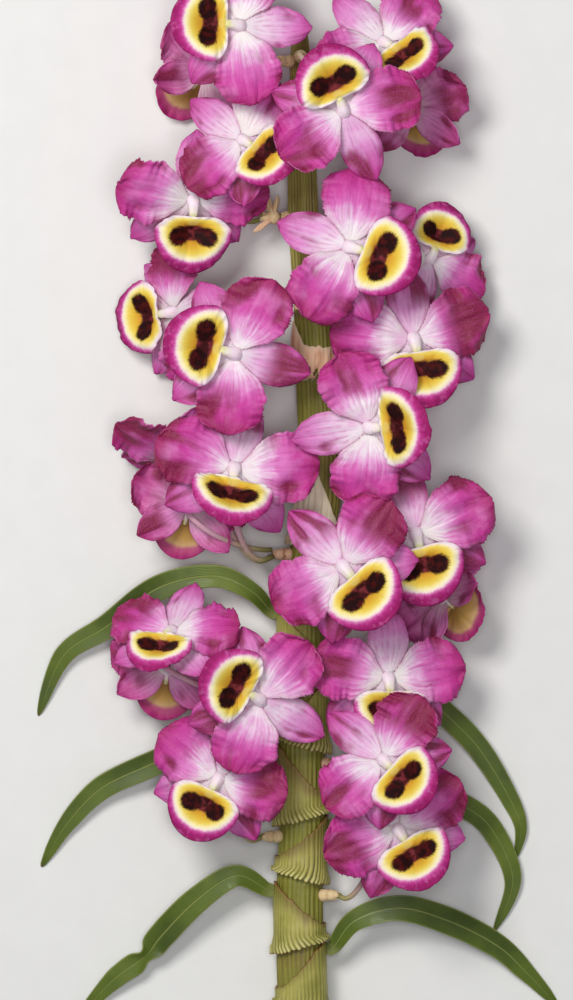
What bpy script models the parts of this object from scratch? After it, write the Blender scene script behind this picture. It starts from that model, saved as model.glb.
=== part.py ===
# A dendrobium orchid stem lying on its back: a jointed cane, six leaves on their
# sheaths, a dried sheath and twenty-six blooms, each a body of five tepals with its
# column and stalk, and a lip. The cane runs along +Y to its tip, the blooms face +Z.

import math
import random

import bmesh
import bpy
from mathutils import Matrix, Vector

MM = 0.001

# The middle of the outline and the height of its lowest point, in millimetres.
CENTRE_X = -1.58
CENTRE_Y = -0.05
LOWEST_Z = 0.01

# The clearance between one body and the next, and the thickness of petals and leaves.
GAP = 0.3
PETAL_THICKNESS = 0.9
LEAF_THICKNESS = 1.0
SHEATH_THICKNESS = 1.0

# The cane from its cut end to its tip: along, across, height of the axis, radius.
CANE_STATIONS = [
    (-236.0, 0.0, 12.05, 10.2),
    (-218.0, 0.0, 12.05, 10.2),
    (-198.5, -0.9, 12.05, 10.2),
    (-172.0, -0.9, 12.05, 10.2),
    (-145.0, 0.0, 12.05, 10.1),
    (-116.0, 0.3, 12.05, 10.0),
    (-88.0, 0.4, 12.1, 10.0),
    (-60.0, 0.0, 12.1, 9.9),
    (-43.0, 0.5, 12.1, 9.8),
    (-18.0, 5.0, 12.1, 9.8),
    (0.0, 7.3, 12.1, 9.6),
    (25.8, 7.7, 12.6, 9.4),
    (53.3, 6.4, 13.4, 8.9),
    (80.0, 5.2, 14.3, 8.4),
    (105.0, 2.4, 15.2, 7.4),
    (122.5, 0.6, 16.0, 6.8),
    (148.0, 0.0, 17.2, 6.2),
    (172.0, 0.0, 18.6, 5.4),
    (190.0, -0.6, 19.8, 4.6),
    (204.0, -0.8, 20.5, 3.2),
]
# Where the cane has its node rings, along the cane.
CANE_NODES = [-197.5, -167.5, -142.0, -111.0, -81.5, -48.0, -19.8, 25.8, 53.3, 80.0, 122.5, 158.0, 188.0]
# How far the node rings swell on the bare cane and under the leaf sheaths.
NODE_SWELL = 0.8
COVERED_SWELL = 0.15
HIGHEST_COVERED = -15.0
# Further rings where the cane bends between its nodes.
PLAIN_RINGS = [-218.0, -60.0, -43.0, 0.0, 105.0, 148.0, 172.0]
CANE_SIDES = 10

# Short flower-stalk spurs at the nodes: along, direction round the cane in degrees
# from +X towards +Z, length.
SPURS = {
    "top_left": (190.0, 150.0, 9.0),
    "top": (192.0, 90.0, 9.0),
    "top_right": (187.0, 25.0, 9.0),
    "high_right": (158.0, 10.0, 9.0),
    "high_left": (122.5, 165.0, 12.0),
    "upper_right": (80.0, 20.0, 8.0),
    "upper_left": (53.3, 160.0, 8.0),
    "middle_right": (25.8, 20.0, 8.0),
    "middle_left": (-23.5, 160.0, 8.0),
    "centre_right": (-40.0, 25.0, 8.0),
    "centre_left": (-85.5, 155.0, 8.0),
    "lower_right": (-114.5, 20.0, 8.0),
    "lower_left": (-146.0, 160.0, 8.0),
    "low_right": (-171.5, 22.0, 8.0),
}

# Each bloom: number, heart across, along and up, direction of the lip in degrees from
# +X towards +Y, lean of the face from straight up, direction of that lean, forward
# tilt of the lip, size, the spur that bears it, how its stalk bows out, and the seed
# of its waves.
BLOOMS = [
    ("01", -27.1, 203.5, 52.5, 180, 7, 91, 6, 1.00, "top_left", (-1.6, -4.7, 4.2), 195),
    ("02", -41.6, 185.9, 14.5, 234, 149, 154, 9, 0.85, "top_left", (-3.2, 1.4, 1.4), 86),
    ("03", 17.7, 166.6, 59.9, 116, 8, 39, 12, 1.00, "top", (-1.6, 7.8, -0.6), 34),
    ("04", 35.4, 197.3, 35.7, 308, 19, 69, 20, 0.95, "top_right", (1.6, -10.2, 8.7), 40),
    ("05", 46.6, 170.4, 15.8, 275, 146, 48, 0, 0.85, "high_right", (-0.5, 0.9, -0.7), 60),
    ("06", -25.5, 154.8, 44.1, 320, 9, 56, 15, 0.90, "high_left", (-6.4, -3.6, -1.6), 72),
    ("07", -47.0, 128.8, 36.8, 268, 31, 293, 14, 1.00, "high_left", (-1.2, 0.9, 0.9), 14),
    ("08", 20.5, 108.4, 53.5, 339, 9, 30, 10, 1.05, "upper_right", (8.5, -4.7, -3.9), 126),
    ("09", 55.5, 104.4, 24.3, 71, 25, 20, 0, 0.85, "upper_right", (2.3, -8.1, -0.2), 86),
    ("10", -55.9, 81.3, 20.6, 187, 43, 181, 3, 0.95, "upper_left", (-5.4, -0.2, 11.9), 19),
    ("11", -29.1, 62.8, 53.1, 165, 4, 182, 11, 1.05, "upper_left", (0.2, -5.8, -2.5), 113),
    ("12", 48.2, 69.3, 36.3, 277, 12, 335, 20, 1.05, "upper_right", (0.1, 0.4, 2.8), 186),
    ("13", 29.1, 31.0, 53.5, 8, 7, 294, 36, 1.05, "middle_right", (6.7, -1.5, -1.4), 192),
    ("14", -52.1, 18.8, 21.2, 253, 51, 261, 1, 0.95, "middle_left", (7.0, -9.7, 6.5), 90),
    ("15", -29.1, 13.4, 45.4, 258, 7, 29, 33, 1.05, "middle_left", (-1.9, -8.0, 0.8), 37),
    ("16", -48.9, -2.4, 26.8, 258, 175, 199, 6, 0.80, "middle_left", (-5.2, -5.5, 4.9), 46),
    ("17", 17.7, -28.7, 55.8, 312, 6, 277, 19, 1.05, "centre_right", (1.6, -0.8, -6.7), 187),
    ("18", 49.1, -14.9, 38.9, 284, 7, 273, 13, 1.05, "centre_right", (1.0, -9.9, 6.5), 194),
    ("19", 60.9, -41.3, 16.2, 325, 134, 349, 3, 0.80, "centre_right", (-0.2, 2.1, -1.3), 30),
    ("20", -56.2, -56.6, 38.3, 264, 43, 112, 2, 0.90, "centre_left", (5.7, -1.0, -1.1), 195),
    ("21", -58.0, -71.9, 19.2, 262, 176, 288, 0, 0.80, "centre_left", (-7.8, 0.8, -0.3), 27),
    ("22", -18.3, -85.9, 48.5, 151, 5, 3, 10, 1.00, "centre_left", (-7.2, -0.6, 7.0), 59),
    ("23", 37.3, -77.1, 36.0, 269, 12, 337, 17, 1.00, "lower_right", (6.1, -5.9, 1.5), 76),
    ("24", -35.9, -120.2, 36.7, 245, 15, 199, 13, 0.95, "lower_left", (1.3, -6.4, 8.1), 123),
    ("25", 34.9, -111.5, 54.7, 318, 5, 163, 10, 0.95, "lower_right", (2.6, -2.0, 0.2), 198),
    ("26", 41.4, -141.8, 42.2, 300, 8, 319, 26, 0.98, "low_right", (-4.9, -5.2, -0.6), 64),
]

# Tepals: length and half-width at size 1, and the half-width profile from base to tip.
PETAL_LENGTH = 34.0
PETAL_HALF = 14.5
SEPAL_LENGTH = 32.0
SEPAL_HALF = 9.0
LATERAL_HALF = 9.5
PETAL_PROFILE = [(0.0, 0.085), (0.12, 0.30), (0.34, 0.82), (0.62, 1.0), (0.85, 0.80), (1.0, 0.24)]
SEPAL_PROFILE = [(0.0, 0.135), (0.15, 0.48), (0.40, 0.95), (0.55, 1.0), (0.78, 0.74), (1.0, 0.14)]
PETAL_ROWS = [0.34, 0.62, 0.85, 1.0]
PETAL_COLUMNS = [-1.0, -0.5, 0.0, 0.5, 1.0]
SEPAL_ROWS = [0.40, 0.75, 1.0]
SEPAL_COLUMNS = [-1.0, 0.0, 1.0]
HUB_RADIUS = 2.9
# The tepals in their order round the hub, as degrees from the dorsal sepal.
TEPALS = [("dorsal", 0.0), ("petal", 78.0), ("lateral", 130.0), ("lateral", 230.0), ("petal", 282.0)]

# The lip: half-width, reach in front of and behind the throat, where the throat lies.
LIP_HALF = 17.0
LIP_FRONT = 18.5
LIP_BACK = 8.5
THROAT = (0.0, -11.0, 2.4)
LIP_RINGS = [0.40, 0.76, 1.0]
LIP_SEGMENTS = 10
LIP_THICKNESS = 0.9
FOOT_RADIUS = 0.9

# Leaves: name, sheath node and top along the cane, direction of the leaf side round
# the cane in degrees from +X towards +Z, far side of the oblique rim, the blade's
# midline as (across, along, up), and its greatest half-width.
LEAVES = [
    ("leaf_left_upper", -81.0, -45.0, 180.0, -66.0,
     [(-10.4, -49.0, 12.1), (-13.2, -48.6, 12.7), (-22.0, -39.5, 17.0), (-38.0, -33.0, 18.0), (-62.0, -38.0, 14.0),
      (-85.0, -55.0, 8.0), (-104.0, -68.0, 4.5), (-115.0, -94.0, 0.52)], 5.6),
    ("leaf_right_upper", -110.0, -76.0, 0.0, -98.0,
     [(11.35, -80.0, 12.1), (14.6, -79.6, 12.7), (28.0, -73.5, 15.5), (47.0, -80.0, 13.5), (63.0, -93.5, 9.5),
      (77.0, -108.0, 6.5), (90.0, -129.0, 3.8), (95.5, -143.0, 2.4), (93.0, -157.0, 0.52)], 5.2),
    ("leaf_left_middle", -141.5, -105.5, 180.0, -128.0,
     [(-10.65, -109.5, 12.05), (-13.9, -109.1, 12.7), (-26.0, -103.5, 15.0), (-48.0, -108.0, 13.0), (-68.0, -116.0, 9.5),
      (-88.0, -126.0, 6.0), (-103.0, -142.0, 3.0), (-113.5, -160.0, 0.52)], 5.6),
    ("leaf_right_middle", -167.0, -137.0, 0.0, -154.5,
     [(11.05, -141.0, 12.05), (14.3, -140.6, 12.7), (28.0, -131.5, 15.0), (50.0, -126.5, 13.0), (71.0, -133.5, 9.0),
      (83.5, -144.5, 5.5), (92.0, -166.0, 2.6), (84.0, -188.0, 0.52)], 5.2),
    ("leaf_left_lower", -197.0, -165.5, 180.0, -184.0,
     [(-12.05, -169.6, 12.05), (-15.4, -169.2, 12.7), (-28.8, -163.0, 17.0), (-46.0, -174.0, 15.0), (-61.0, -189.5, 10.0),
      (-68.0, -198.5, 7.0), (-82.0, -209.0, 4.4), (-97.0, -225.0, 0.52)], 6.0),
    ("leaf_right_lower", -224.5, -190.5, 0.0, -212.0,
     [(10.45, -194.6, 12.05), (13.7, -194.2, 12.7), (23.0, -182.5, 17.0), (42.0, -177.0, 18.0), (64.0, -183.0, 13.0),
      (85.0, -194.0, 7.0), (98.0, -206.0, 3.4), (112.0, -221.0, 0.52)], 6.0),
]
# How much higher a sheath's foot sits on the side away from its leaf.
SHEATH_LIFT = 8.0
# The sheath's rows: share of its height, and share of the flare at its foot.
SHEATH_ROWS = [(0.0, 1.0), (0.12, 1.0), (0.26, 0.4), (1.0, 0.0)]
LEAF_PROFILE = [(0.0, 0.45), (0.2, 0.85), (0.5, 1.0), (0.8, 0.72), (1.0, 0.14)]
LEAF_ROWS = 8
SHEATH_SIDES = 10

# The dried sheath above the leaves, and the torn collar round the cane higher up.
DRY_SHEATH = ("sheath_dry_middle", -19.0, 21.0, 150.0, -14.0)
COLLAR = (52.0, 77.0, 165.0, 64.0)


def clear_scene():
    for item in list(bpy.data.objects):
        bpy.data.objects.remove(item)


def new_collection(name, hidden):
    collection = bpy.data.collections.new(name)
    bpy.context.scene.collection.children.link(collection)
    collection.hide_render = hidden
    return collection


def make_material(name, colour, roughness):
    material = bpy.data.materials.new(name)
    material.use_nodes = True
    shader = material.node_tree.nodes["Principled BSDF"]
    shader.inputs["Base Color"].default_value = (*colour, 1.0)
    shader.inputs["Roughness"].default_value = roughness
    shader.inputs["Metallic"].default_value = 0.0
    return material


def profile(table, u):
    """The value of a table at u, eased between its entries."""
    for (u0, v0), (u1, v1) in zip(table, table[1:]):
        if u <= u1:
            share = (u - u0) / (u1 - u0)
            return v0 + (v1 - v0) * share
    return table[-1][1]


def cane_at(along):
    """Across, height and radius of the cane at this place along it."""
    for low, high in zip(CANE_STATIONS, CANE_STATIONS[1:]):
        if along <= high[0]:
            share = max(0.0, (along - low[0]) / (high[0] - low[0]))
            return tuple(low[i] + (high[i] - low[i]) * share for i in (1, 2, 3))
    return CANE_STATIONS[-1][1:]


def placed(point):
    """A point in millimetres as metres in the object's frame."""
    return Vector((point[0] - CENTRE_X, point[1] - CENTRE_Y, point[2] - LOWEST_Z)) * MM


def mesh_object(name, points, faces, collection):
    mesh = bpy.data.meshes.new(name)
    mesh.from_pydata([placed(point) for point in points], [], faces)
    mesh.update()
    item = bpy.data.objects.new(name, mesh)
    collection.objects.link(item)
    return item


def face_outward(item):
    work = bmesh.new()
    work.from_mesh(item.data)
    bmesh.ops.recalc_face_normals(work, faces=work.faces)
    if work.calc_volume(signed=True) < 0:
        bmesh.ops.reverse_faces(work, faces=work.faces)
    work.to_mesh(item.data)
    work.free()


def applied(item):
    """The object with its modifiers turned into plain mesh."""
    graph = bpy.context.evaluated_depsgraph_get()
    mesh = bpy.data.meshes.new_from_object(item.evaluated_get(graph))
    item.modifiers.clear()
    item.data = mesh
    return item


def thickened(item, thickness):
    solid = item.modifiers.new("Thickness", "SOLIDIFY")
    solid.thickness = thickness * MM
    solid.offset = 0.0
    solid.use_even_offset = False
    solid.use_rim = True
    item = applied(item)
    face_outward(item)
    return item


def sheet_faces(rows, columns):
    """Triangles of a sheet of rows times columns of points, the diagonal turned about its middle."""
    faces = []
    for row in range(rows - 1):
        for column in range(columns - 1):
            a = row * columns + column
            b = a + 1
            c = a + columns + 1
            d = a + columns
            if column < (columns - 1) / 2:
                faces += [(a, b, c), (a, c, d)]
            else:
                faces += [(a, b, d), (b, c, d)]
    return faces


def tube(name, path, radii, sides, collection, cap=True):
    """A closed tube with a ring of points at each place of the path."""
    points = []
    faces = []
    count = len(path)
    side = None
    for index, place in enumerate(path):
        before = path[max(index - 1, 0)]
        after = path[min(index + 1, count - 1)]
        forward = (after - before).normalized()
        if side is None:
            side = forward.orthogonal().normalized()
        side = (side - forward * side.dot(forward)).normalized()
        up = forward.cross(side)
        for step in range(sides):
            turn = math.tau * step / sides
            points.append(place + (side * math.cos(turn) + up * math.sin(turn)) * radii[index])
    for index in range(count - 1):
        for step in range(sides):
            a = index * sides + step
            b = index * sides + (step + 1) % sides
            faces += [(a, b, b + sides), (a, b + sides, a + sides)]
    first = len(points)
    points += [path[0], path[-1]]
    for step in range(sides):
        other = (step + 1) % sides
        last = (count - 1) * sides
        faces += [(other, step, first), (last + step, last + other, first + 1)]
    item = mesh_object(name, points, faces, collection)
    face_outward(item)
    return item


def fuse(base, others, solver):
    """Joins the objects of a collection to the base in one union, and removes them."""
    join = base.modifiers.new("Join", "BOOLEAN")
    join.operation = "UNION"
    join.operand_type = "COLLECTION"
    join.collection = others
    join.solver = solver
    applied(base)
    for item in list(others.objects):
        bpy.data.objects.remove(item)
    bpy.data.collections.remove(others)


def tidy_mesh(item):
    """Takes out the slivers that a union leaves."""
    work = bmesh.new()
    work.from_mesh(item.data)
    bmesh.ops.remove_doubles(work, verts=work.verts, dist=0.02 * MM)
    bmesh.ops.dissolve_degenerate(work, edges=work.edges, dist=0.01 * MM)
    bmesh.ops.triangulate(work, faces=work.faces)
    work.to_mesh(item.data)
    work.free()


def bloom_matrix(row):
    """From a bloom's own frame (face +Z, lip -Y) to the object's."""
    lip, lean, azimuth = (math.radians(value) for value in row[4:7])
    face = Vector((math.sin(lean) * math.cos(azimuth), math.sin(lean) * math.sin(azimuth), math.cos(lean)))
    down = Vector((math.cos(lip), math.sin(lip), 0.0))
    down = (down - face * down.dot(face)).normalized()
    up = -down
    side = up.cross(face)
    turn = Matrix((side, up, face)).transposed().to_4x4()
    return Matrix.Translation(Vector(row[1:4])) @ turn @ Matrix.Scale(row[8], 4)


def tepal_shape(kind, row, index):
    """The numbers that shape one tepal of a bloom."""
    dice = random.Random(f"{row[0]}-{row[11]}-{index}")
    petal = kind == "petal"
    return {
        "length": (PETAL_LENGTH if petal else SEPAL_LENGTH) * dice.uniform(0.96, 1.04),
        "half": {"petal": PETAL_HALF, "dorsal": SEPAL_HALF, "lateral": LATERAL_HALF}[kind],
        "table": PETAL_PROFILE if petal else SEPAL_PROFILE,
        "layer": 1.2 if petal else -1.2,
        "lift": dice.uniform(1.5, 3.5) if petal else dice.uniform(-1.5, 0.0),
        "droop": dice.uniform(2.0, 5.0) if petal else dice.uniform(2.5, 5.0),
        "cup": dice.uniform(-0.8, 1.2) if petal else dice.uniform(-0.9, 0.3),
        "ruffle": 1.7 if petal else 0.5,
        "waves": dice.uniform(2.2, 3.0),
        "phase": dice.uniform(0.0, 1.0),
        "twist": math.radians(dice.uniform(-9.0, 9.0)),
        "bend": dice.uniform(-1.5, 1.5),
    }


def tepal_point(shape, u, s):
    """A point of a tepal's middle surface: u from base to tip, s across from -1 to 1."""
    half = shape["half"] * profile(shape["table"], u)
    wave = math.sin(math.tau * (shape["waves"] * u + shape["phase"]) + (2.2 if s > 0 else 0.0))
    across = s * half + shape["bend"] * u * u
    along = HUB_RADIUS + (shape["length"] - HUB_RADIUS) * (u - 0.05 * u * s * s)
    height = shape["layer"] * min(u / 0.22, 1.0) + shape["lift"] * u - shape["droop"] * u * u
    height += shape["cup"] * s * s * math.sin(math.pi * min(u * 1.1, 1.0))
    height += shape["ruffle"] * abs(s) ** 1.5 * max(0.0, min(1.0, (u - 0.15) / 0.4)) * wave
    height += math.sin(shape["twist"]) * s * half * u
    return Vector((across, along, height))


def tepal_sheet(row):
    """Points and triangles of the five tepals, and the ring of the hub that they spread from."""
    points = []
    faces = []
    ring = []
    for index, (kind, angle) in enumerate(TEPALS):
        shape = tepal_shape(kind, row, index)
        turn = Matrix.Rotation(-math.radians(angle), 4, "Z")
        rows = PETAL_ROWS if kind == "petal" else SEPAL_ROWS
        columns = PETAL_COLUMNS if kind == "petal" else SEPAL_COLUMNS
        base = len(points)
        points += [turn @ tepal_point(shape, 0.0, s) for s in (-1.0, 0.0, 1.0)]
        ring += [base, base + 1, base + 2]
        first = len(points)
        points += [turn @ tepal_point(shape, u, s) for u in rows for s in columns]
        if kind == "petal":
            faces += [(base, first + 1, first), (base, base + 1, first + 1), (base + 1, first + 2, first + 1)]
            faces += [(base + 1, first + 3, first + 2), (base + 1, base + 2, first + 3), (base + 2, first + 4, first + 3)]
        else:
            faces += [(base, base + 1, first + 1), (base, first + 1, first)]
            faces += [(base + 1, base + 2, first + 1), (base + 2, first + 2, first + 1)]
        faces += [tuple(first + corner for corner in face) for face in sheet_faces(len(rows), len(columns))]
    return points, faces, ring


def sheet_normals(points, faces):
    normals = [Vector((0.0, 0.0, 0.0)) for _ in points]
    for a, b, c in faces:
        normal = (points[b] - points[a]).cross(points[c] - points[a])
        for corner in (a, b, c):
            normals[corner] += normal
    return [normal.normalized() for normal in normals]


def edges_of(faces):
    """The directed edges of the triangles."""
    return {(face[k], face[(k + 1) % 3]) for face in faces for k in range(3)}


def bloom_body(row, matrix, stalk):
    """Points and triangles of a bloom: thick tepals on a hub, column in front, stalk behind."""
    size = row[8]
    middle, sheet, ring = tepal_sheet(row)
    normals = sheet_normals(middle, sheet)
    count = len(middle)
    half = PETAL_THICKNESS / 2
    points = [matrix @ (point + normal * half) for point, normal in zip(middle, normals)]
    points += [matrix @ (point - normal * half) for point, normal in zip(middle, normals)]
    faces = list(sheet) + [(c + count, b + count, a + count) for a, b, c in sheet]
    edges = edges_of(sheet)
    hub = {(ring[k], ring[k + 1]) for k in range(len(ring) - 1)}
    for a, b in sorted(edges):
        if (b, a) not in edges and (a, b) not in hub:
            faces += [(b, a, a + count), (b, a + count, b + count)]
    for k in range(2, len(ring), 3):
        a, b = ring[k], ring[(k + 1) % len(ring)]
        faces += [(b, a, a + count), (b, a + count, b + count)]
    column = [(Vector((0.0, 0.7, 3.6)), 2.2), (Vector((0.0, 1.9, 8.2)), 1.6)]
    front = [[matrix @ (place + spoke(k) * radius) for k in range(5)] for place, radius in column]
    loft_to(points, faces, ring, front, matrix @ Vector((0.0, 2.0, 8.6)), seat_of(row, matrix), size)
    back = stalk_rings(stalk, matrix, size)
    loft_to(points, faces, [k + count for k in ring], back, stalk[-1], None, size)
    return points, faces


def spoke(k):
    """The direction of the k-th tepal in a bloom's own plane."""
    angle = math.radians(TEPALS[k][1])
    return Vector((math.sin(angle), math.cos(angle), 0.0))


def stalk_rings(stalk, matrix, size):
    """Rings of five points along the stalk, turned as the tepals are."""
    radii = [1.9 * size, 1.5 * size, 1.2, 1.1]
    rings = []
    turn = matrix.to_3x3().normalized()
    before = turn @ Vector((0.0, 0.0, -1.0))
    for index, place in enumerate(stalk):
        forward = (stalk[min(index + 1, len(stalk) - 1)] - stalk[max(index - 1, 0)]).normalized()
        turn = before.rotation_difference(forward).to_matrix() @ turn
        before = forward
        rings.append([place + (turn @ spoke(k)) * radii[index] for k in range(5)])
    return rings


def loft_to(points, faces, ring, rings, tip, seat, size):
    """Joins the hub's ring of fifteen points to rings of five and closes them at a tip."""
    start = len(points)
    for corners in rings:
        points.extend(corners)
    for k in range(5):
        here, after = start + k, start + (k + 1) % 5
        a, b, c, d = ring[3 * k], ring[3 * k + 1], ring[3 * k + 2], ring[(3 * k + 3) % 15]
        faces += [(a, b, here), (b, c, here)]
        if seat is not None and k == 2:
            make_foot(points, faces, (c, d, after, here), seat, size)
        else:
            faces += [(c, d, after), (c, after, here)]
    for step in range(len(rings) - 1):
        for k in range(5):
            a, b = start + step * 5 + k, start + step * 5 + (k + 1) % 5
            faces += [(a, b, b + 5), (a, b + 5, a + 5)]
    last = start + (len(rings) - 1) * 5
    points.append(tip)
    for k in range(5):
        faces.append((last + k, last + (k + 1) % 5, len(points) - 1))


def make_foot(points, faces, corners, seat, size):
    """The column foot: four corners of the hub drawn out to the seat of the lip."""
    centre, across, upward = seat
    radius = FOOT_RADIUS * size
    base = len(points)
    points.extend([
        centre + across * radius - upward * radius,
        centre - across * radius - upward * radius,
        centre - across * radius + upward * radius * 0.4,
        centre + across * radius + upward * radius * 0.4,
    ])
    for k in range(4):
        a, b = corners[k], corners[(k + 1) % 4]
        c, d = base + (k + 1) % 4, base + k
        faces += [(a, b, c), (a, c, d)]
    faces += [(base, base + 1, base + 2), (base, base + 2, base + 3)]


def seat_of(row, matrix):
    """Where the column foot ends under the lip's throat, with its sideways and upward directions."""
    size = row[8]
    turned = matrix @ lip_turn(row)
    below = (LIP_THICKNESS / 2 + GAP * 0.3) / size + FOOT_RADIUS * 0.4
    centre = turned @ (Vector(THROAT) - Vector((0.0, -0.5, below)))
    turn = turned.to_3x3().normalized()
    return centre, turn @ Vector((1.0, 0.0, 0.0)), turn @ Vector((0.0, 0.0, 1.0))


def lip_turn(row):
    """The forward tilt of a lip about the heart of its bloom."""
    tilt = math.radians(row[7])
    shift = Matrix.Translation(Vector((0.0, -5.0 * math.sin(tilt), 0.0)))
    return shift @ Matrix.Rotation(-tilt, 4, "X")


def lip_point(row, t, turn):
    """A point of the lip's middle surface: t from throat to rim, turn round the throat."""
    phase = random.Random(f"lip-{row[0]}").uniform(0.0, math.tau)
    c, s = math.cos(turn), math.sin(turn)
    reach = LIP_BACK if s > 0 else LIP_FRONT
    notch = 1.0 - 0.10 * math.exp(-(((turn - math.pi / 2) / 0.5) ** 2))
    rise = min(t / 0.76, 1.0)
    height = 4.8 * rise * rise * (3.0 - 2.0 * rise)
    rim = max(0.0, (t - 0.76) / 0.24)
    height -= rim * (1.6 if s < 0 else 0.4)
    height += rim * 0.8 * math.sin(5.0 * turn + phase)
    return Vector((
        THROAT[0] + LIP_HALF * c * t * (1.0 - 0.12 * max(0.0, -s)),
        THROAT[1] + reach * s * t * notch,
        THROAT[2] + height,
    ))


def make_lip(row, matrix, collection, material):
    place = matrix @ lip_turn(row)
    points = [place @ Vector(THROAT)]
    for t in LIP_RINGS:
        for step in range(LIP_SEGMENTS):
            points.append(place @ lip_point(row, t, math.tau * step / LIP_SEGMENTS + math.pi / 2))
    faces = []
    for step in range(LIP_SEGMENTS):
        faces.append((1 + step, 1 + (step + 1) % LIP_SEGMENTS, 0))
    for ring in range(len(LIP_RINGS) - 1):
        for step in range(LIP_SEGMENTS):
            a = 1 + ring * LIP_SEGMENTS + step
            b = 1 + ring * LIP_SEGMENTS + (step + 1) % LIP_SEGMENTS
            faces += [(b, b + LIP_SEGMENTS, a), (b + LIP_SEGMENTS, a + LIP_SEGMENTS, a)]
    item = mesh_object(f"lip_{row[0]}", points, faces, collection)
    item = thickened(item, LIP_THICKNESS)
    item.data.materials.append(material)
    return item


def spur_tip(name):
    """Where a spur ends, and the way it points."""
    along, turn, length = SPURS[name]
    across, height, radius = cane_at(along)
    out = Vector((math.cos(math.radians(turn)), 0.0, math.sin(math.radians(turn))))
    root = Vector((across, along, height))
    return root + out * (radius + length), out


def stalk_path(row, matrix):
    """The middle line of a bloom's ovary and pedicel, from its column to its spur."""
    tip, out = spur_tip(row[9])
    heart = matrix @ Vector((0.0, 0.0, -4.0))
    back = (matrix.to_3x3() @ Vector((0.0, 0.0, -1.0))).normalized()
    mates = [other[0] for other in BLOOMS if other[9] == row[9]]
    turn = math.tau * mates.index(row[0]) / len(mates) + 0.6
    side = out.cross(Vector((0.0, 1.0, 0.0))).normalized()
    fan = side * math.cos(turn) + out.cross(side) * math.sin(turn)
    end = tip + out * (GAP + 0.1) + fan * (0.0 if len(mates) == 1 else 1.9)
    reach = (heart - end).length
    bow = Vector(row[10])
    first = heart + back * min(12.0, reach * 0.35) + bow
    second = end + (out + fan * 0.35).normalized() * reach * 0.35 + bow
    path = []
    for step in range(4):
        t = step / 3
        k = 1.0 - t
        path.append(heart * k ** 3 + first * 3 * k * k * t + second * 3 * k * t * t + end * t ** 3)
    return path


def make_bloom(row, collection, material):
    matrix = bloom_matrix(row)
    points, faces = bloom_body(row, matrix, stalk_path(row, matrix))
    body = mesh_object(f"bloom_{row[0]}", points, faces, collection)
    face_outward(body)
    body.data.materials.append(material)
    return body


def cane_rings():
    """Places along the cane with the swelling of its node rings."""
    rings = []
    for along in CANE_NODES:
        swell = COVERED_SWELL if along < HIGHEST_COVERED else NODE_SWELL
        for offset, share in ((-2.4, 0.0), (0.0, 1.0), (2.0, 0.1)):
            across, height, radius = cane_at(along + offset)
            rings.append((along + offset, across, height, radius + swell * share))
    for station in (CANE_STATIONS[0], CANE_STATIONS[-2], CANE_STATIONS[-1]):
        rings.append(station)
    for along in PLAIN_RINGS:
        rings.append((along, *cane_at(along)))
    return sorted(rings)


def make_cane(collection, material):
    points = []
    faces = []
    rings = cane_rings()
    for along, across, height, radius in rings:
        for step in range(CANE_SIDES):
            turn = math.tau * step / CANE_SIDES
            points.append(Vector((across + radius * math.cos(turn), along, height + radius * math.sin(turn))))
    for index in range(len(rings) - 1):
        for step in range(CANE_SIDES):
            a = index * CANE_SIDES + step
            b = index * CANE_SIDES + (step + 1) % CANE_SIDES
            faces += [(a, b, b + CANE_SIDES), (a, b + CANE_SIDES, a + CANE_SIDES)]
    first = len(points)
    points += [Vector((rings[0][1], rings[0][0], rings[0][2])), Vector((rings[-1][1], rings[-1][0] + 1.5, rings[-1][2]))]
    last = (len(rings) - 1) * CANE_SIDES
    for step in range(CANE_SIDES):
        other = (step + 1) % CANE_SIDES
        faces += [(other, step, first), (last + step, last + other, first + 1)]
    cane = mesh_object("cane", points, faces, collection)
    face_outward(cane)
    others = new_collection("spurs", True)
    for name, (along, turn, length) in SPURS.items():
        tip, out = spur_tip(name)
        across, height, radius = cane_at(along)
        root = tip - out * (length + radius * 0.5)
        tube(f"spur_{name}", [root, tip], [2.6, 3.0], 5, others)
    make_collar(others)
    fuse(cane, others, "MANIFOLD")
    tidy_mesh(cane)
    cane.data.materials.append(material)
    return cane


def oblique_rows(low, high, side, far, lift, inner, flare):
    """Rings of a sheath from its node to its slanting rim, high on the leaf side."""
    rows = []
    for share, flared in SHEATH_ROWS:
        ring = []
        for step in range(SHEATH_SIDES):
            turn = math.tau * step / SHEATH_SIDES
            near = 0.5 + 0.5 * math.cos(turn - math.radians(side))
            top = far + (high - far) * near ** 1.4
            foot = low + lift * (1.0 - near)
            along = foot + (top - foot) * share
            across, height, radius = cane_at(along)
            reach = radius + inner + flare * flared
            ring.append(Vector((across + reach * math.cos(turn), along, height + reach * math.sin(turn))))
        rows.append(ring)
    return rows


def make_sheath(name, low, high, side, far, lift, inner, flare, thickness, collection):
    rows = oblique_rows(low, high, side, far, lift, inner + thickness / 2, flare)
    points = [point for ring in rows for point in ring]
    faces = []
    for index in range(len(rows) - 1):
        for step in range(SHEATH_SIDES):
            a = index * SHEATH_SIDES + step
            b = index * SHEATH_SIDES + (step + 1) % SHEATH_SIDES
            faces += [(a, b, b + SHEATH_SIDES), (a, b + SHEATH_SIDES, a + SHEATH_SIDES)]
    item = mesh_object(name, points, faces, collection)
    return thickened(item, thickness)


def make_collar(collection):
    """The torn dry collar, its foot sunk in the node ring."""
    low, high, side, far = COLLAR
    make_sheath("collar", low, high, side, far, 0.0, 0.9, -2.6, 1.2, collection)


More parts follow.
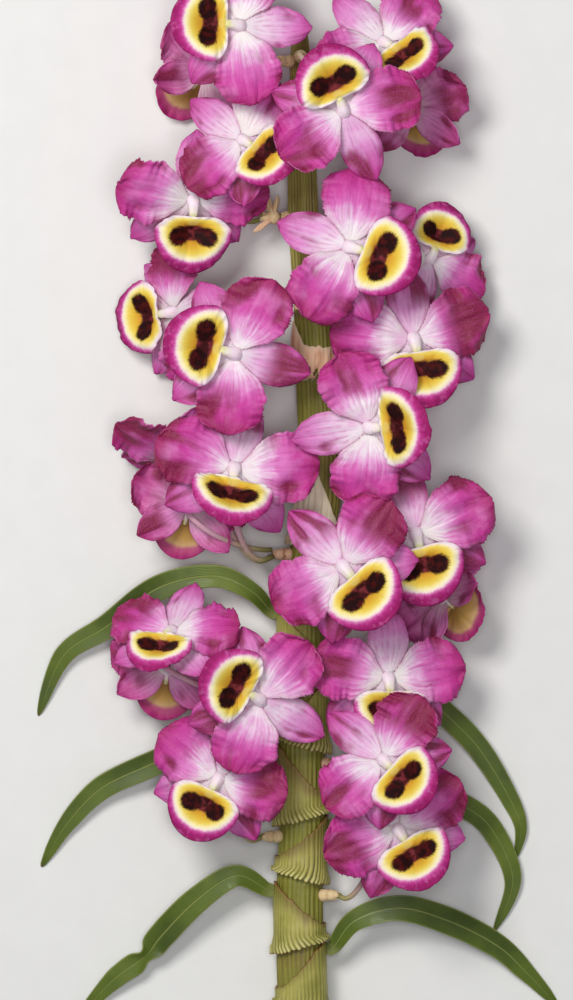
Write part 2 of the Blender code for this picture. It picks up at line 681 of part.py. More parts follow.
def leaf_rows(line, half):
    """Points of a folded blade along its midline."""
    places = [Vector(place) for place in line]
    lengths = [0.0]
    for first, second in zip(places, places[1:]):
        lengths.append(lengths[-1] + (second - first).length)
    points = []
    for index in range(LEAF_ROWS):
        u = index / (LEAF_ROWS - 1)
        place = along_line(places, lengths, u)
        forward = (along_line(places, lengths, min(u + 0.03, 1.0)) - along_line(places, lengths, max(u - 0.03, 0.0)))
        side = Vector((0.0, 0.0, 1.0)).cross(forward).normalized()
        width = half * profile(LEAF_PROFILE, u)
        fold = Vector((0.0, 0.0, 0.28 * width))
        points += [place + side * width + fold, place, place - side * width + fold]
    return points


def along_line(places, lengths, u):
    """The place at this share of a line's length."""
    target = u * lengths[-1]
    for index in range(len(places) - 1):
        if target <= lengths[index + 1]:
            share = (target - lengths[index]) / (lengths[index + 1] - lengths[index])
            return smooth_between(places, index, share)
    return places[-1]


def smooth_between(places, index, share):
    """A rounded course through four neighbouring places."""
    a = places[max(index - 1, 0)]
    b = places[index]
    c = places[index + 1]
    d = places[min(index + 2, len(places) - 1)]
    t = share
    return 0.5 * (2 * b + (c - a) * t + (2 * a - 5 * b + 4 * c - d) * t * t + (3 * b - a - 3 * c + d) * t ** 3)


def make_leaf(row, collection, material):
    name, low, high, side, far, line, half = row
    sheath = make_sheath(name, low, high, side, far, SHEATH_LIFT, GAP + 0.15, 1.0, SHEATH_THICKNESS, collection)
    others = new_collection(f"blade_{name}", True)
    blade = mesh_object(f"blade_{name}", leaf_rows(line, half), sheet_faces(LEAF_ROWS, 3), others)
    thickened(blade, LEAF_THICKNESS)
    fuse(sheath, others, "MANIFOLD")
    tidy_mesh(sheath)
    sheath.data.materials.append(material)
    return sheath


def make_dry_sheath(collection, material):
    name, low, high, side, far = DRY_SHEATH
    item = make_sheath(name, low, high, side, far, 2.0, GAP + 0.15, 1.4, SHEATH_THICKNESS, collection)
    item.data.materials.append(material)
    return item


def main():
    clear_scene()
    stem = new_collection("dendrobium_stem", False)
    cane_green = make_material("cane_green_brown", (0.13, 0.10, 0.03), 0.55)
    leaf_green = make_material("leaf_green", (0.06, 0.10, 0.02), 0.45)
    dry_cream = make_material("dry_cream", (0.55, 0.44, 0.27), 0.8)
    tepal_pink = make_material("tepal_magenta", (0.60, 0.09, 0.36), 0.5)
    lip_yellow = make_material("lip_yellow", (0.85, 0.58, 0.12), 0.5)
    make_cane(stem, cane_green)
    make_dry_sheath(stem, dry_cream)
    for row in LEAVES:
        make_leaf(row, stem, leaf_green)
    for row in BLOOMS:
        make_bloom(row, stem, tepal_pink)
        make_lip(row, bloom_matrix(row), stem, lip_yellow)


if __name__ == "__main__":
    main()
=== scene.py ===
# %% [markdown]
# # A dendrobium stem, cut and laid down
# The plant is a nobile-type dendrobium: a jointed cane, strap leaves on ribbed sheaths,
# and clusters of magenta blooms whose lips carry a yellow and maroon eye.
# A plainer model of the same stem holds its true sizes, so the first cell loads that
# model and keeps its box. Everything below is a finer skin over those pieces.

# %% Load the measured model
import math
import random
from collections import namedtuple

import bpy
import numpy as np
from mathutils import Matrix, Vector


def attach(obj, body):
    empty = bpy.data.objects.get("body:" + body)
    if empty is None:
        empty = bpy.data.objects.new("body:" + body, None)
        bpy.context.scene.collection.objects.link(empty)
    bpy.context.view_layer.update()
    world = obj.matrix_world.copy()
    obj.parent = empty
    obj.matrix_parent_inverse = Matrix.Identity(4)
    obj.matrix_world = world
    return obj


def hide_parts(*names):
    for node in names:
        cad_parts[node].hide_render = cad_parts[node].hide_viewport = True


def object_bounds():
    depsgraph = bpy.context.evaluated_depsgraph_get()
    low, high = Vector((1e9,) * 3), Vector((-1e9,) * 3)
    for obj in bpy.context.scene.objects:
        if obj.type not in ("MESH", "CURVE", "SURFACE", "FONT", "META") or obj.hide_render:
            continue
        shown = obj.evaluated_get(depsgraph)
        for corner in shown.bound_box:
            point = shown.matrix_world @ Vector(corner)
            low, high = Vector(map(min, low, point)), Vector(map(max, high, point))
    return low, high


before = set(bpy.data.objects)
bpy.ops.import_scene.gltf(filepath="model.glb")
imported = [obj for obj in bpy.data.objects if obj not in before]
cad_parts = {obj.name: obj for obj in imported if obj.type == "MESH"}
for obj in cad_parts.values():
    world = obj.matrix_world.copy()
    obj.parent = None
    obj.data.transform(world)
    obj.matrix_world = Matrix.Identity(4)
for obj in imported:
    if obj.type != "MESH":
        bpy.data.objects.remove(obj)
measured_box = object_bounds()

print("nodes in the measured model:", len(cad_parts))

# %% [markdown]
# ## Millimetres and the middle of the stem
# Flowers are easiest to think about in millimetres, while Blender counts in metres.
# One helper turns a point of the stem, in millimetres from the middle of the cane at
# table height, into Blender's metres round the middle of the whole stem. A second one
# does the same for many points at once.

# %% Millimetres to metres
MM = 0.001
MIDDLE = Vector((-1.58, -0.05, 0.01))


def placed(point):
    """A point of the stem in millimetres, as metres in Blender."""
    return (Vector(point) - MIDDLE) * MM


def placed_all(points):
    """An array of such points, as metres in Blender."""
    return (points - np.array(MIDDLE)) * MM


print("the stem's heel lies at", [round(value, 4) for value in placed((0.0, -236.0, 12.05))])

# %% [markdown]
# ## Camera and light
# The stem lies on its back, so the picture is taken from straight above. A long lens
# three metres up makes the view almost parallel, so that near and far blooms look
# equally large. Two soft lamps light it as a studio would: a strong one from the upper
# left, and one close to the camera's own line that reaches the cane between the blooms.

# %% Camera straight above
CAMERA_HEIGHT = 3.0
PICTURE_HEIGHT = 0.430
PICTURE_MIDDLE = (-6.66, 0.0, 0.0)
BLOOM_LEVEL = 0.045
SENSOR = 36.0

optics = bpy.data.cameras.new("camera")
optics.sensor_width = SENSOR
optics.lens = SENSOR * CAMERA_HEIGHT / PICTURE_HEIGHT
optics.clip_end = 20.0
camera = bpy.data.objects.new("camera", optics)
camera.location = placed(PICTURE_MIDDLE)
camera.location.z = BLOOM_LEVEL + CAMERA_HEIGHT
bpy.context.scene.collection.objects.link(camera)
bpy.context.scene.camera = camera
print("lens in millimetres:", round(optics.lens, 1))

# %% Lamps and surroundings


def add_lamp(name, place, size, power, warmth):
    """A square soft lamp that points at the middle of the stem."""
    lamp = bpy.data.lights.new(name, "AREA")
    lamp.size = size
    lamp.energy = power
    lamp.color = warmth
    item = bpy.data.objects.new(name, lamp)
    item.location = place
    item.rotation_euler = (-Vector(place)).to_track_quat("-Z", "Y").to_euler()
    bpy.context.scene.collection.objects.link(item)


add_lamp("key_lamp", (-0.42, 0.48, 1.25), 0.45, 12.5, (1.0, 0.98, 0.95))
add_lamp("front_lamp", (0.06, -0.06, 1.60), 0.40, 7.0, (0.99, 0.99, 1.0))
air = bpy.data.worlds.new("air")
air.use_nodes = True
air.node_tree.nodes["Background"].inputs["Color"].default_value = (0.9, 0.93, 1.0, 1.0)
air.node_tree.nodes["Background"].inputs["Strength"].default_value = 0.22
bpy.context.scene.world = air
bpy.context.scene.view_settings.view_transform = "Standard"

# %% [markdown]
# ## Sums between nodes, written as sums
# A node tree that only adds and multiplies is long to draw and hard to read. A small
# class that stands for one socket lets Python's own signs build those nodes, so
# a rule such as `1 - mask * 0.5` reads as it would on paper. The same class serves the
# trees that make shapes and the trees that make colours.

# %% The value of a socket


class Field:
    """One output of a node tree, which Python's signs can work on."""

    def __init__(self, sketch, socket):
        self.sketch = sketch
        self.socket = socket

    def sum_node(self, operation, first, second=0.0):
        return self.sketch.node("ShaderNodeMath", {"operation": operation}, {0: first, 1: second})

    def __add__(self, other):
        return self.sum_node("ADD", self, other)

    __radd__ = __add__

    def __sub__(self, other):
        return self.sum_node("SUBTRACT", self, other)

    def __rsub__(self, other):
        return self.sum_node("SUBTRACT", other, self)

    def __mul__(self, other):
        return self.sum_node("MULTIPLY", self, other)

    __rmul__ = __mul__

    def __truediv__(self, other):
        return self.sum_node("DIVIDE", self, other)

    def __pow__(self, other):
        return self.sum_node("POWER", self, other)

    def __abs__(self):
        return self.sum_node("ABSOLUTE", self)

    def sine(self):
        return self.sum_node("SINE", self)

    def least(self, other):
        return self.sum_node("MINIMUM", self, other)

    def most(self, other):
        return self.sum_node("MAXIMUM", self, other)

    def over(self, limit):
        return self.sum_node("GREATER_THAN", self, limit)

    def ramp(self, low, high, shape="SMOOTHSTEP"):
        """0 below low, 1 above high, and an even rise between."""
        return self.sketch.node(
            "ShaderNodeMapRange", {"interpolation_type": shape}, {0: self, 1: low, 2: high, 3: 0.0, 4: 1.0}
        )


# %% The tree that holds them


class Sketch:
    """A node tree, with one way for a node to come into it."""

    def __init__(self, tree):
        self.tree = tree

    def plug(self, socket, value):
        if isinstance(value, Field):
            self.tree.links.new(value.socket, socket)
        else:
            socket.default_value = value

    def node(self, kind, settings=None, sockets=None, give=0):
        """Adds a node: its settings first, then the values or links of its sockets.

        A socket is given by its name, or by its number where several share a name.
        """
        made = self.tree.nodes.new(kind)
        for name, value in (settings or {}).items():
            if name == "stops":
                set_stops(made.color_ramp, value)
            elif name == "course":
                set_course(made.mapping, value)
            else:
                setattr(made, name, value)
        for name, value in (sockets or {}).items():
            self.plug(made.inputs[name], value)
        return Field(self, made.outputs[give])

    def vector(self, x, y, z):
        return self.node("ShaderNodeCombineXYZ", None, {0: x, 1: y, 2: z})

    def mix(self, share, first, second, blend="MIX"):
        """A colour between two colours."""
        return self.node(
            "ShaderNodeMix", {"data_type": "RGBA", "blend_type": blend}, {0: share, 6: first, 7: second}, 2
        )

    def noise(self, vector, scale, detail=2.0):
        """A soft random number between 0 and 1, with details down to a part of the scale."""
        return self.node("ShaderNodeTexNoise", None, {
            "Vector": vector, "Scale": scale, "Detail": detail, "Roughness": 0.55,
        })

    def attribute(self, name):
        """A number that the mesh carries at its points."""
        return self.node("ShaderNodeAttribute", {"attribute_name": name}, None, 2)

    def place(self):
        """Where a point lies, in the object's own metres."""
        return self.node("ShaderNodeTexCoord", None, None, 3)

    def colours(self, share, stops):
        """The colour at this share of the way along a row of stops."""
        return self.node("ShaderNodeValToRGB", {"stops": stops}, {0: share})


def set_stops(ramp, stops):
    """Fills a colour ramp with (place, colour) pairs."""
    ramp.elements[0].position = stops[0][0]
    ramp.elements[0].color = stops[0][1]
    ramp.elements[1].position = stops[-1][0]
    ramp.elements[1].color = stops[-1][1]
    for place, colour in stops[1:-1]:
        ramp.elements.new(place).color = colour


def set_course(mapping, points):
    """Fills a float curve with (place, value) pairs."""
    course = mapping.curves[0]
    course.points[0].location = points[0]
    course.points[1].location = points[-1]
    for place, value in points[1:-1]:
        course.points.new(place, value)
    mapping.update()


def paint(red, green, blue):
    """A colour given from 0 to 255 as the eye sees it, as Blender's linear colour."""
    shares = [value / 255.0 for value in (red, green, blue)]
    linear = [s / 12.92 if s <= 0.04045 else ((s + 0.055) / 1.055) ** 2.4 for s in shares]
    return (*linear, 1.0)


print("magenta in linear light:", [round(value, 3) for value in paint(205, 75, 165)])

# %% [markdown]
# ## Finishes
# Every finish starts the same way: a Principled shader whose plain numbers sit on its own
# sockets, and a sketch that works out colour, roughness and bump. Patterns on petals,
# lips and leaves follow the piece itself, so each mesh carries five numbers at every
# point. "reach" says how far it lies from root to tip and "side" how far to the side.
# What "eye", "across" and "along" mean differs from piece to piece.

# %% A finish and its bump


def new_finish(name, numbers):
    """A material with these numbers on its shader, and the sketch and shader to add to."""
    material = bpy.data.materials.new(name)
    material.use_nodes = True
    shader = material.node_tree.nodes["Principled BSDF"]
    for socket, value in numbers.items():
        shader.inputs[socket].default_value = value
    return material, Sketch(material.node_tree), shader


def finish_with(sketch, shader, colour, roughness, height, depth):
    """Plugs in the colour and roughness, and a bump of this depth in metres."""
    bump = sketch.node("ShaderNodeBump", None, {"Strength": 1.0, "Distance": depth, "Height": height})
    sketch.plug(shader.inputs["Base Color"], colour)
    sketch.plug(shader.inputs["Roughness"], roughness)
    sketch.plug(shader.inputs["Normal"], bump)


VELVET = {
    "Subsurface Weight": 0.10,
    "Subsurface Radius": (1.0, 0.35, 0.6),
    "Subsurface Scale": 0.0015,
    "Specular IOR Level": 0.28,
}

# %% [markdown]
# ### Petals and sepals
# A petal is white where it leaves the heart and magenta outside, and the white runs out
# along the veins in rays. A sepal is paler, with fine darker lines from root to tip and
# a darker margin. Sine waves across the blade give lines that converge
# at root and tip, just as veins do, because the side number is a share of the width.
# Here "across" is how far the skin is folded up or down, and its hollows get a
# painted shade of dark maroon. "eye" is a random tint of the tepal's own, which also
# sets how much of that painted shade it gets. Light patches and a light edge are
# painted highlights.

# %% Petal and sepal finish


def tepal_finish(name, stops, rim, line, line_share, lines):
    """The skin of a petal or sepal: a ramp from root to tip, painted shade in the folds, painted highlights,
    veins and a margin.
    """
    material, sketch, shader = new_finish(name, VELVET)
    reach = sketch.attribute("reach")
    side = sketch.attribute("side")
    fold = sketch.attribute("across")
    shade = sketch.attribute("eye")
    spot = sketch.node("ShaderNodeVectorMath", {"operation": "SCALE"}, {0: sketch.place(), "Scale": 14.0})
    across = sketch.vector(side * 5.0, reach * 0.7, 0.0)
    drift = sketch.node("ShaderNodeVectorMath", {"operation": "ADD"}, {0: across, 1: spot})
    rays = sketch.noise(drift, 2.2, 4.0)
    patch = sketch.noise(sketch.place(), 75.0, 3.0)
    cloud = sketch.noise(sketch.place(), 260.0, 4.0)
    tone = reach + (rays - 0.5) * 0.45 + (patch - 0.5) * 0.50 + (shade - 0.5) * 0.20
    colour = sketch.colours(tone, stops)
    # painted highlight: light lilac-pink patches of light on the tepal, fading out towards its tip
    painted_highlight = patch.ramp(0.48, 0.70) * (1.0 - reach.ramp(0.75, 1.0))
    colour = sketch.mix(painted_highlight * 0.45, colour, paint(232, 146, 212))
    # painted shade: dark maroon in the hollows of folds, on tepals with a high "eye" number and in soft
    # clouds
    fold_shade_amount = (0.0 - fold) * 1.2 + (shade - 0.45) * 1.2 + (cloud - 0.5) * 0.6
    painted_shade = fold_shade_amount.ramp(0.0, 0.9) * reach.ramp(0.25, 0.6)
    colour = sketch.mix(painted_shade * 0.92, colour, paint(122, 14, 48))
    wander = sketch.noise(drift, 3.0, 2.0)
    vein = ((side * lines + wander * 4.0).sine() * 0.5 + 0.5) ** 2.0
    broken = cloud.ramp(0.36, 0.62) * line_share * reach.ramp(0.02, 0.25)
    colour = sketch.mix(vein * broken, colour, line)
    margin = (abs(side) ** 5.0).most(reach.ramp(0.80, 1.0)) * (0.6 + (patch - 0.5) * 1.4)
    colour = sketch.mix(margin * 0.6, colour, rim)
    # painted highlight: a lighter pink along the very edge, kept out of the painted shade
    edge_highlight = abs(side).ramp(0.955, 0.995) * (1.0 - painted_shade)
    colour = sketch.mix(edge_highlight * 0.45, colour, paint(226, 132, 190))
    grain = sketch.noise(sketch.place(), 1500.0, 1.0)
    colour = sketch.mix((grain - 0.5) * 0.20 + 0.03, colour, paint(240, 170, 220))
    height = vein * -0.10 + grain * 0.22 + rays * 0.5 + cloud * 0.5
    finish_with(sketch, shader, colour, 0.5 + grain * 0.15, height, 0.0005)
    return material


petal_face = tepal_finish(
    "petal_face",
    [(0.0, paint(240, 234, 232)), (0.15, paint(240, 226, 236)), (0.28, paint(230, 178, 218)),
     (0.42, paint(213, 108, 184)), (0.60, paint(200, 64, 158)), (0.80, paint(186, 40, 134)),
     (1.0, paint(158, 24, 98))],
    paint(160, 24, 94), paint(166, 34, 118), 0.26, 30.0,
)
sepal_face = tepal_finish(
    "sepal_face",
    [(0.0, paint(236, 224, 232)), (0.32, paint(228, 188, 220)), (0.55, paint(217, 148, 202)),
     (0.78, paint(203, 96, 172)), (1.0, paint(184, 52, 140))],
    paint(180, 44, 132), paint(184, 60, 146), 0.40, 21.0,
)
tepal_back = tepal_finish(
    "tepal_back",
    [(0.0, paint(226, 200, 208)), (0.35, paint(212, 140, 186)), (0.7, paint(194, 84, 152)),
     (1.0, paint(172, 46, 120))],
    paint(160, 32, 106), paint(160, 48, 118), 0.35, 24.0,
)
print("finishes:", petal_face.name, sepal_face.name, tepal_back.name)

# %% [markdown]
# ### The eye of the lip
# The lip is the showpiece: a cream rim round a yellow field, and in it a maroon blotch of
# two lobes with a redder bridge between them. Beyond the cream lies a magenta hem. The
# number "eye" grows from 0 at the throat to 1 where the hem begins, and the numbers
# "across" and "along" are millimetres from the throat, for the two lobes.

# %% Lip finish


def lobe(sketch, across, along, x, y, wide, tall, ragged):
    """1 inside an oval spot of the lip, 0 outside, with a torn edge."""
    dx = (across - x) / wide
    dy = (along - y) / tall
    distance = (dx * dx + dy * dy) ** 0.5
    return 1.0 - (distance + ragged).ramp(0.80, 1.14)


def lip_finish():
    """The lip's face: throat, yellow field, blotch, cream rim and magenta hem."""
    dull_velvet = {**VELVET, "Subsurface Weight": 0.04, "Specular IOR Level": 0.15}
    material, sketch, shader = new_finish("lip_face", dull_velvet)
    share = sketch.attribute("eye")
    across = sketch.attribute("across")
    along = sketch.attribute("along")
    turn = sketch.node("ShaderNodeMath", {"operation": "ARCTAN2"}, {0: along, 1: across})
    spread = sketch.vector(turn.sine() * 4.0, (turn + math.pi / 2).sine() * 4.0, share * 0.8)
    rays = sketch.noise(spread, 4.0, 4.0)
    patch = sketch.noise(sketch.place(), 300.0, 2.0)
    tone = share * 0.8 + (rays - 0.5) * 0.08 + (patch - 0.5) * 0.05
    colour = sketch.colours(tone, [
        (0.0, paint(196, 146, 54)), (0.34, paint(210, 152, 44)), (0.50, paint(224, 184, 62)),
        (0.61, paint(232, 206, 92)), (0.68, paint(242, 226, 148)), (0.74, paint(246, 236, 196)),
        (0.79, paint(240, 212, 214)), (0.83, paint(214, 122, 180)), (0.88, paint(192, 60, 142)),
        (0.94, paint(176, 40, 122)), (1.0, paint(156, 30, 102)),
    ])
    behind = (along * 0.35).ramp(-0.2, 1.6)
    colour = sketch.mix(behind * share.ramp(0.80, 0.98), colour, paint(238, 222, 230))
    ragged = (rays - 0.5) * 0.42 + (patch - 0.5) * 0.30
    left = lobe(sketch, across, along, -6.1, -2.4, 4.9, 4.4, ragged)
    right = lobe(sketch, across, along, 6.1, -2.4, 4.9, 4.4, ragged)
    bridge = lobe(sketch, across, along, 0.0, -1.0, 7.0, 3.7, ragged)
    bridge_tone = sketch.mix(patch.ramp(0.38, 0.58), paint(118, 40, 46), paint(56, 8, 14))
    colour = sketch.mix(bridge, colour, bridge_tone)
    lobe_tone = sketch.mix(patch.ramp(0.42, 0.68), paint(32, 2, 4), paint(74, 10, 12))
    colour = sketch.mix(left.most(right), colour, lobe_tone)
    callus = lobe(sketch, across, along, 0.0, 3.8, 2.4, 1.2, ragged * 2.2)
    colour = sketch.mix(callus * 0.6, colour, paint(222, 196, 110))
    streak = ((turn * 31.0 + rays * 9.0).sine() * 0.5 + 0.5) ** 2.0
    hem = share.ramp(1.02, 1.12) * (1.0 - behind)
    colour = sketch.mix(streak * hem * 0.3, colour, paint(140, 24, 88))
    # painted highlight: lighter lilac patches on the hem
    colour = sketch.mix(patch.ramp(0.5, 0.7) * hem * 0.35, colour, paint(222, 120, 188))
    fur = sketch.noise(sketch.place(), 2200.0, 1.0)
    height = fur * 0.4 + streak * hem * 0.3 + rays * share * 0.12
    finish_with(sketch, shader, colour, 0.62 + fur * 0.15, height, 0.0003)
    return material


def lip_back_finish():
    """The lip's underside, duller and without the blotch."""
    material, sketch, shader = new_finish("lip_back", VELVET)
    eye_share = sketch.attribute("eye")
    patch = sketch.noise(sketch.place(), 120.0, 3.0)
    tone = eye_share * 0.75 + (patch - 0.5) * 0.2
    colour = sketch.colours(tone, [
        (0.0, paint(150, 110, 50)), (0.40, paint(196, 158, 84)), (0.62, paint(206, 172, 120)),
        (0.74, paint(176, 80, 120)), (1.0, paint(160, 34, 106)),
    ])
    fur = sketch.noise(sketch.place(), 1800.0, 1.0)
    finish_with(sketch, shader, colour, 0.55 + fur * 0.15, fur * 0.4 + patch, 0.0003)
    return material


lip_face = lip_finish()
lip_back = lip_back_finish()
print("lip finishes:", lip_face.name, lip_back.name)

# %% [markdown]
# ### Column and stalk
# The column in the heart of an orchid joins its pollen and its stigma. Here it is a
# pinkish white with a greenish end. The stalk behind the bloom is pale pink and turns
# green where it leaves the cane.

# %% Column and stalk finish


def column_finish():
    """The column's skin, from its pinkish root to its greenish end."""
    flesh = {"Subsurface Weight": 0.15, "Subsurface Scale": 0.0015}
    material, sketch, shader = new_finish("column_skin", flesh)
    reach = sketch.attribute("reach")
    patch = sketch.noise(sketch.place(), 600.0, 3.0)
    tone = reach + (patch - 0.5) * 0.3
    colour = sketch.colours(tone, [
        (0.0, paint(244, 222, 236)), (0.45, paint(246, 228, 238)), (0.66, paint(238, 228, 214)),
        (0.80, paint(214, 212, 152)), (0.92, paint(226, 218, 156)), (1.0, paint(160, 132, 76)),
    ])
    finish_with(sketch, shader, colour, 0.42 + patch * 0.15, patch, 0.0003)
    return material


def stalk_finish():
    """The skin of ovary and stalk, from pink at the bloom to green at the cane."""
    flesh = {"Subsurface Weight": 0.1, "Subsurface Scale": 0.0015}
    material, sketch, shader = new_finish("stalk_skin", flesh)
    reach = sketch.attribute("reach")
    patch = sketch.noise(sketch.place(), 180.0, 3.0)
    tone = reach + (patch - 0.5) * 0.3
    colour = sketch.colours(tone, [
        (0.0, paint(208, 150, 180)), (0.5, paint(206, 160, 176)), (0.85, paint(170, 160, 110)),
        (1.0, paint(130, 128, 70)),
    ])
    finish_with(sketch, shader, colour, 0.45 + patch * 0.15, patch, 0.0003)
    return material


column_skin = column_finish()
stalk_skin = stalk_finish()
print("heart finishes:", column_skin.name, stalk_skin.name)

# %% [markdown]
# ### Cane, sheaths and leaves
# The cane is olive brown with lengthwise ribs, with painted shade in the furrows
# and brown at each node ring. A sheath is paler green, its ribs lighter than the
# furrows, which carry painted shade, with a brown rim. A leaf has a paler midrib and
# edge. The dry sheath, the torn collar and the scales have lost their green and read
# as paper: cream, tan or brown with darker streaks, and on the dry sheath painted
# shade in the hollows between pleats. On all of these "across" is how high the skin
# stands on its ribs. On the cane "eye" marks the node rings, and on the dry sheath
# "along" marks its burnt edge.

# %% Cane finish


def cane_finish():
    """The cane's olive skin, with painted shade in the furrows, green and brown patches and scurf."""
    material, sketch, shader = new_finish("cane_skin", {"Specular IOR Level": 0.4})
    ring = sketch.attribute("eye")
    place = sketch.place()
    stretch = sketch.node("ShaderNodeMapping", None, {0: place, 3: (260.0, 16.0, 260.0)})
    streak = sketch.noise(stretch, 1.0, 4.0)
    blot = sketch.noise(place, 45.0, 3.0)
    rib = sketch.attribute("across") * 0.5 + 0.5
    colour = sketch.colours(streak * 0.7 + blot * 0.3, [
        (0.25, paint(92, 78, 28)), (0.42, paint(124, 110, 42)), (0.56, paint(146, 138, 54)),
        (0.72, paint(176, 164, 92)),
    ])
    # painted shade: darker olive in the furrows between the ribs
    colour = sketch.mix((1.0 - rib) * 0.45, colour, paint(70, 60, 22))
    green = sketch.noise(place, 22.0, 2.0).ramp(0.45, 0.62)
    colour = sketch.mix(green * 0.5, colour, paint(124, 130, 38))
    band = (ring * 0.8 + streak * 0.5 - 0.3).ramp(0.0, 0.7) * (0.4 + blot * 0.7)
    colour = sketch.mix(band, colour, paint(84, 58, 32))
    scurf = sketch.noise(place, 700.0, 3.0).ramp(0.58, 0.72)
    colour = sketch.mix(scurf * 0.35, colour, paint(166, 148, 104))
    finish_with(sketch, shader, colour, 0.42 + streak * 0.25, streak * 0.6 + rib * 0.5, 0.0005)
    return material


def cut_finish():
    """The cut end: pale fibres in a green rim."""
    material, sketch, shader = new_finish("cane_cut", {})
    place = sketch.place()
    dots = sketch.node("ShaderNodeTexVoronoi", None, {"Vector": place, "Scale": 900.0}, 0).ramp(0.1, 0.4)
    blot = sketch.noise(place, 300.0, 3.0)
    colour = sketch.mix(dots, paint(150, 120, 70), paint(206, 198, 140))
    colour = sketch.mix(blot.ramp(0.5, 0.7) * 0.4, colour, paint(150, 130, 80))
    finish_with(sketch, shader, colour, 0.6 + blot * 0.2, dots, 0.0003)
    return material


# %% Sheath, leaf and paper finishes


def sheath_finish():
    """The green sheath: pale ribs that fade upwards, painted shade in the furrows and a brown rim."""
    material, sketch, shader = new_finish("sheath_skin", {"Specular IOR Level": 0.35})
    rise = sketch.attribute("reach")
    rib = sketch.attribute("across") * 0.5 + 0.5
    shade = sketch.attribute("eye")
    place = sketch.place()
    stretch = sketch.node("ShaderNodeMapping", None, {0: place, 3: (520.0, 34.0, 520.0)})
    streak = sketch.noise(stretch, 1.0, 4.0)
    blot = sketch.noise(place, 75.0, 4.0)
    colour = sketch.colours(blot * 0.7 + streak * 0.35, [
        (0.30, paint(122, 118, 46)), (0.46, paint(152, 148, 68)), (0.58, paint(172, 166, 86)),
        (0.72, paint(190, 180, 116)),
    ])
    # painted shade: dark in the furrows between ribs, less so towards the upper rim
    furrow = (1.0 - rib) * (1.0 - rise * 0.85) + (streak - 0.5) * 0.7
    colour = sketch.mix(furrow.ramp(0.25, 1.0) * 0.85, colour, paint(70, 72, 22))
    pale = rib.ramp(0.45, 0.9) * (1.0 - rise.ramp(0.02, 0.20))
    colour = sketch.mix(pale * 0.75, colour, paint(214, 206, 138))
    umber = (rise + (streak - 0.5) * 0.6 + (blot - 0.5) * 0.5 + shade * 0.55).ramp(0.95, 1.45)
    colour = sketch.mix(umber * 0.7, colour, paint(98, 72, 34))
    rim = rise.ramp(0.965, 0.99).most((1.0 - rise.ramp(0.0, 0.02)) * 0.6)
    colour = sketch.mix(rim * (0.5 + blot), colour, paint(128, 88, 48))
    finish_with(sketch, shader, colour, 0.45 + streak * 0.2, rib * 0.3 + streak * 0.6 + blot * 0.3, 0.0005)
    return material


def leaf_finish():
    """The blade: fine parallel veins, a paler midrib and edge, and a dry tip."""
    material, sketch, shader = new_finish("leaf_skin", {
        "Specular IOR Level": 0.45, "Coat Weight": 0.05, "Subsurface Weight": 0.05, "Subsurface Scale": 0.001,
    })
    side = sketch.attribute("side")
    reach = sketch.attribute("reach")
    place = sketch.place()
    blot = sketch.noise(place, 40.0, 3.0)
    wander = sketch.noise(place, 25.0, 1.0)
    line = ((side * 46.0 + wander * 6.0).sine() * 0.5 + 0.5) ** 2.0 * blot.ramp(0.3, 0.6) * 0.6
    colour = sketch.colours(blot * 0.7 + line * 0.15 + 0.05, [
        (0.25, paint(62, 78, 18)), (0.50, paint(92, 110, 30)), (0.75, paint(126, 138, 50)),
    ])
    midrib = 1.0 - abs(side).ramp(0.02, 0.10)
    hem = abs(side).ramp(0.90, 0.99)
    colour = sketch.mix((midrib * 0.6).most(hem * 0.7), colour, paint(146, 154, 84))
    colour = sketch.mix((1.0 - reach.ramp(0.0, 0.06)) * 0.7, colour, paint(136, 140, 78))
    colour = sketch.mix(reach.ramp(0.975, 1.0) * 0.8, colour, paint(120, 92, 48))
    finish_with(sketch, shader, colour, 0.36 + blot * 0.2, line * 0.5 - midrib * 0.6, 0.0003)
    return material


def paper_finish(name, light, middle, dark, foot):
    """Dried sheath: papery, streaked along its length, with painted shade in the hollows between pleats,
    browner at its foot.
    """
    material, sketch, shader = new_finish(name, {"Specular IOR Level": 0.2})
    rise = sketch.attribute("reach")
    pleat = sketch.attribute("across") * 0.5 + 0.5
    burnt = sketch.attribute("along")
    place = sketch.place()
    stretch = sketch.node("ShaderNodeMapping", None, {0: place, 3: (520.0, 30.0, 520.0)})
    streak = sketch.noise(stretch, 1.0, 4.0)
    blot = sketch.noise(place, 130.0, 3.0)
    colour = sketch.colours(streak * 0.75 + blot * 0.25, [
        (0.24, dark), (0.38, middle), (0.52, light), (0.85, light),
    ])
    # painted shade: the dark tone in the hollows between pleats, less towards the top
    colour = sketch.mix((1.0 - pleat).ramp(0.55, 1.0) * (0.75 - rise * 0.5), colour, dark)
    colour = sketch.mix((1.0 - rise.ramp(0.0, 0.14)) * 0.6, colour, foot)
    colour = sketch.mix(rise.ramp(0.72, 1.0) * 0.5, colour, paint(236, 220, 186))
    browned = (burnt + (streak - 0.5) * 0.8 + (blot - 0.5) * 0.8).ramp(0.35, 0.85)
    colour = sketch.mix(browned, colour, paint(174, 104, 50))
    finish_with(sketch, shader, colour, 0.75 + blot * 0.15, streak + blot * 0.4, 0.0006)
    return material


cane_skin = cane_finish()
cane_cut = cut_finish()
sheath_skin = sheath_finish()
leaf_skin = leaf_finish()
# The light, middle and dark tone of each paper, and the tone of its foot.
PAPERS = {
    "paper_cream": ((244, 234, 206), (226, 212, 176), (160, 136, 94), (192, 150, 100)),
    "paper_tan": ((226, 200, 156), (204, 172, 126), (140, 104, 66), (150, 112, 70)),
    "paper_brown": ((232, 192, 158), (206, 154, 120), (130, 84, 58), (190, 146, 104)),
}
papers = [paper_finish(name, *(paint(*tone) for tone in tones)) for name, tones in PAPERS.items()]
paper_cream, paper_tan, paper_brown = papers
print("plant finishes:", cane_skin.name, sheath_skin.name, leaf_skin.name, "and", len(papers), "papers")

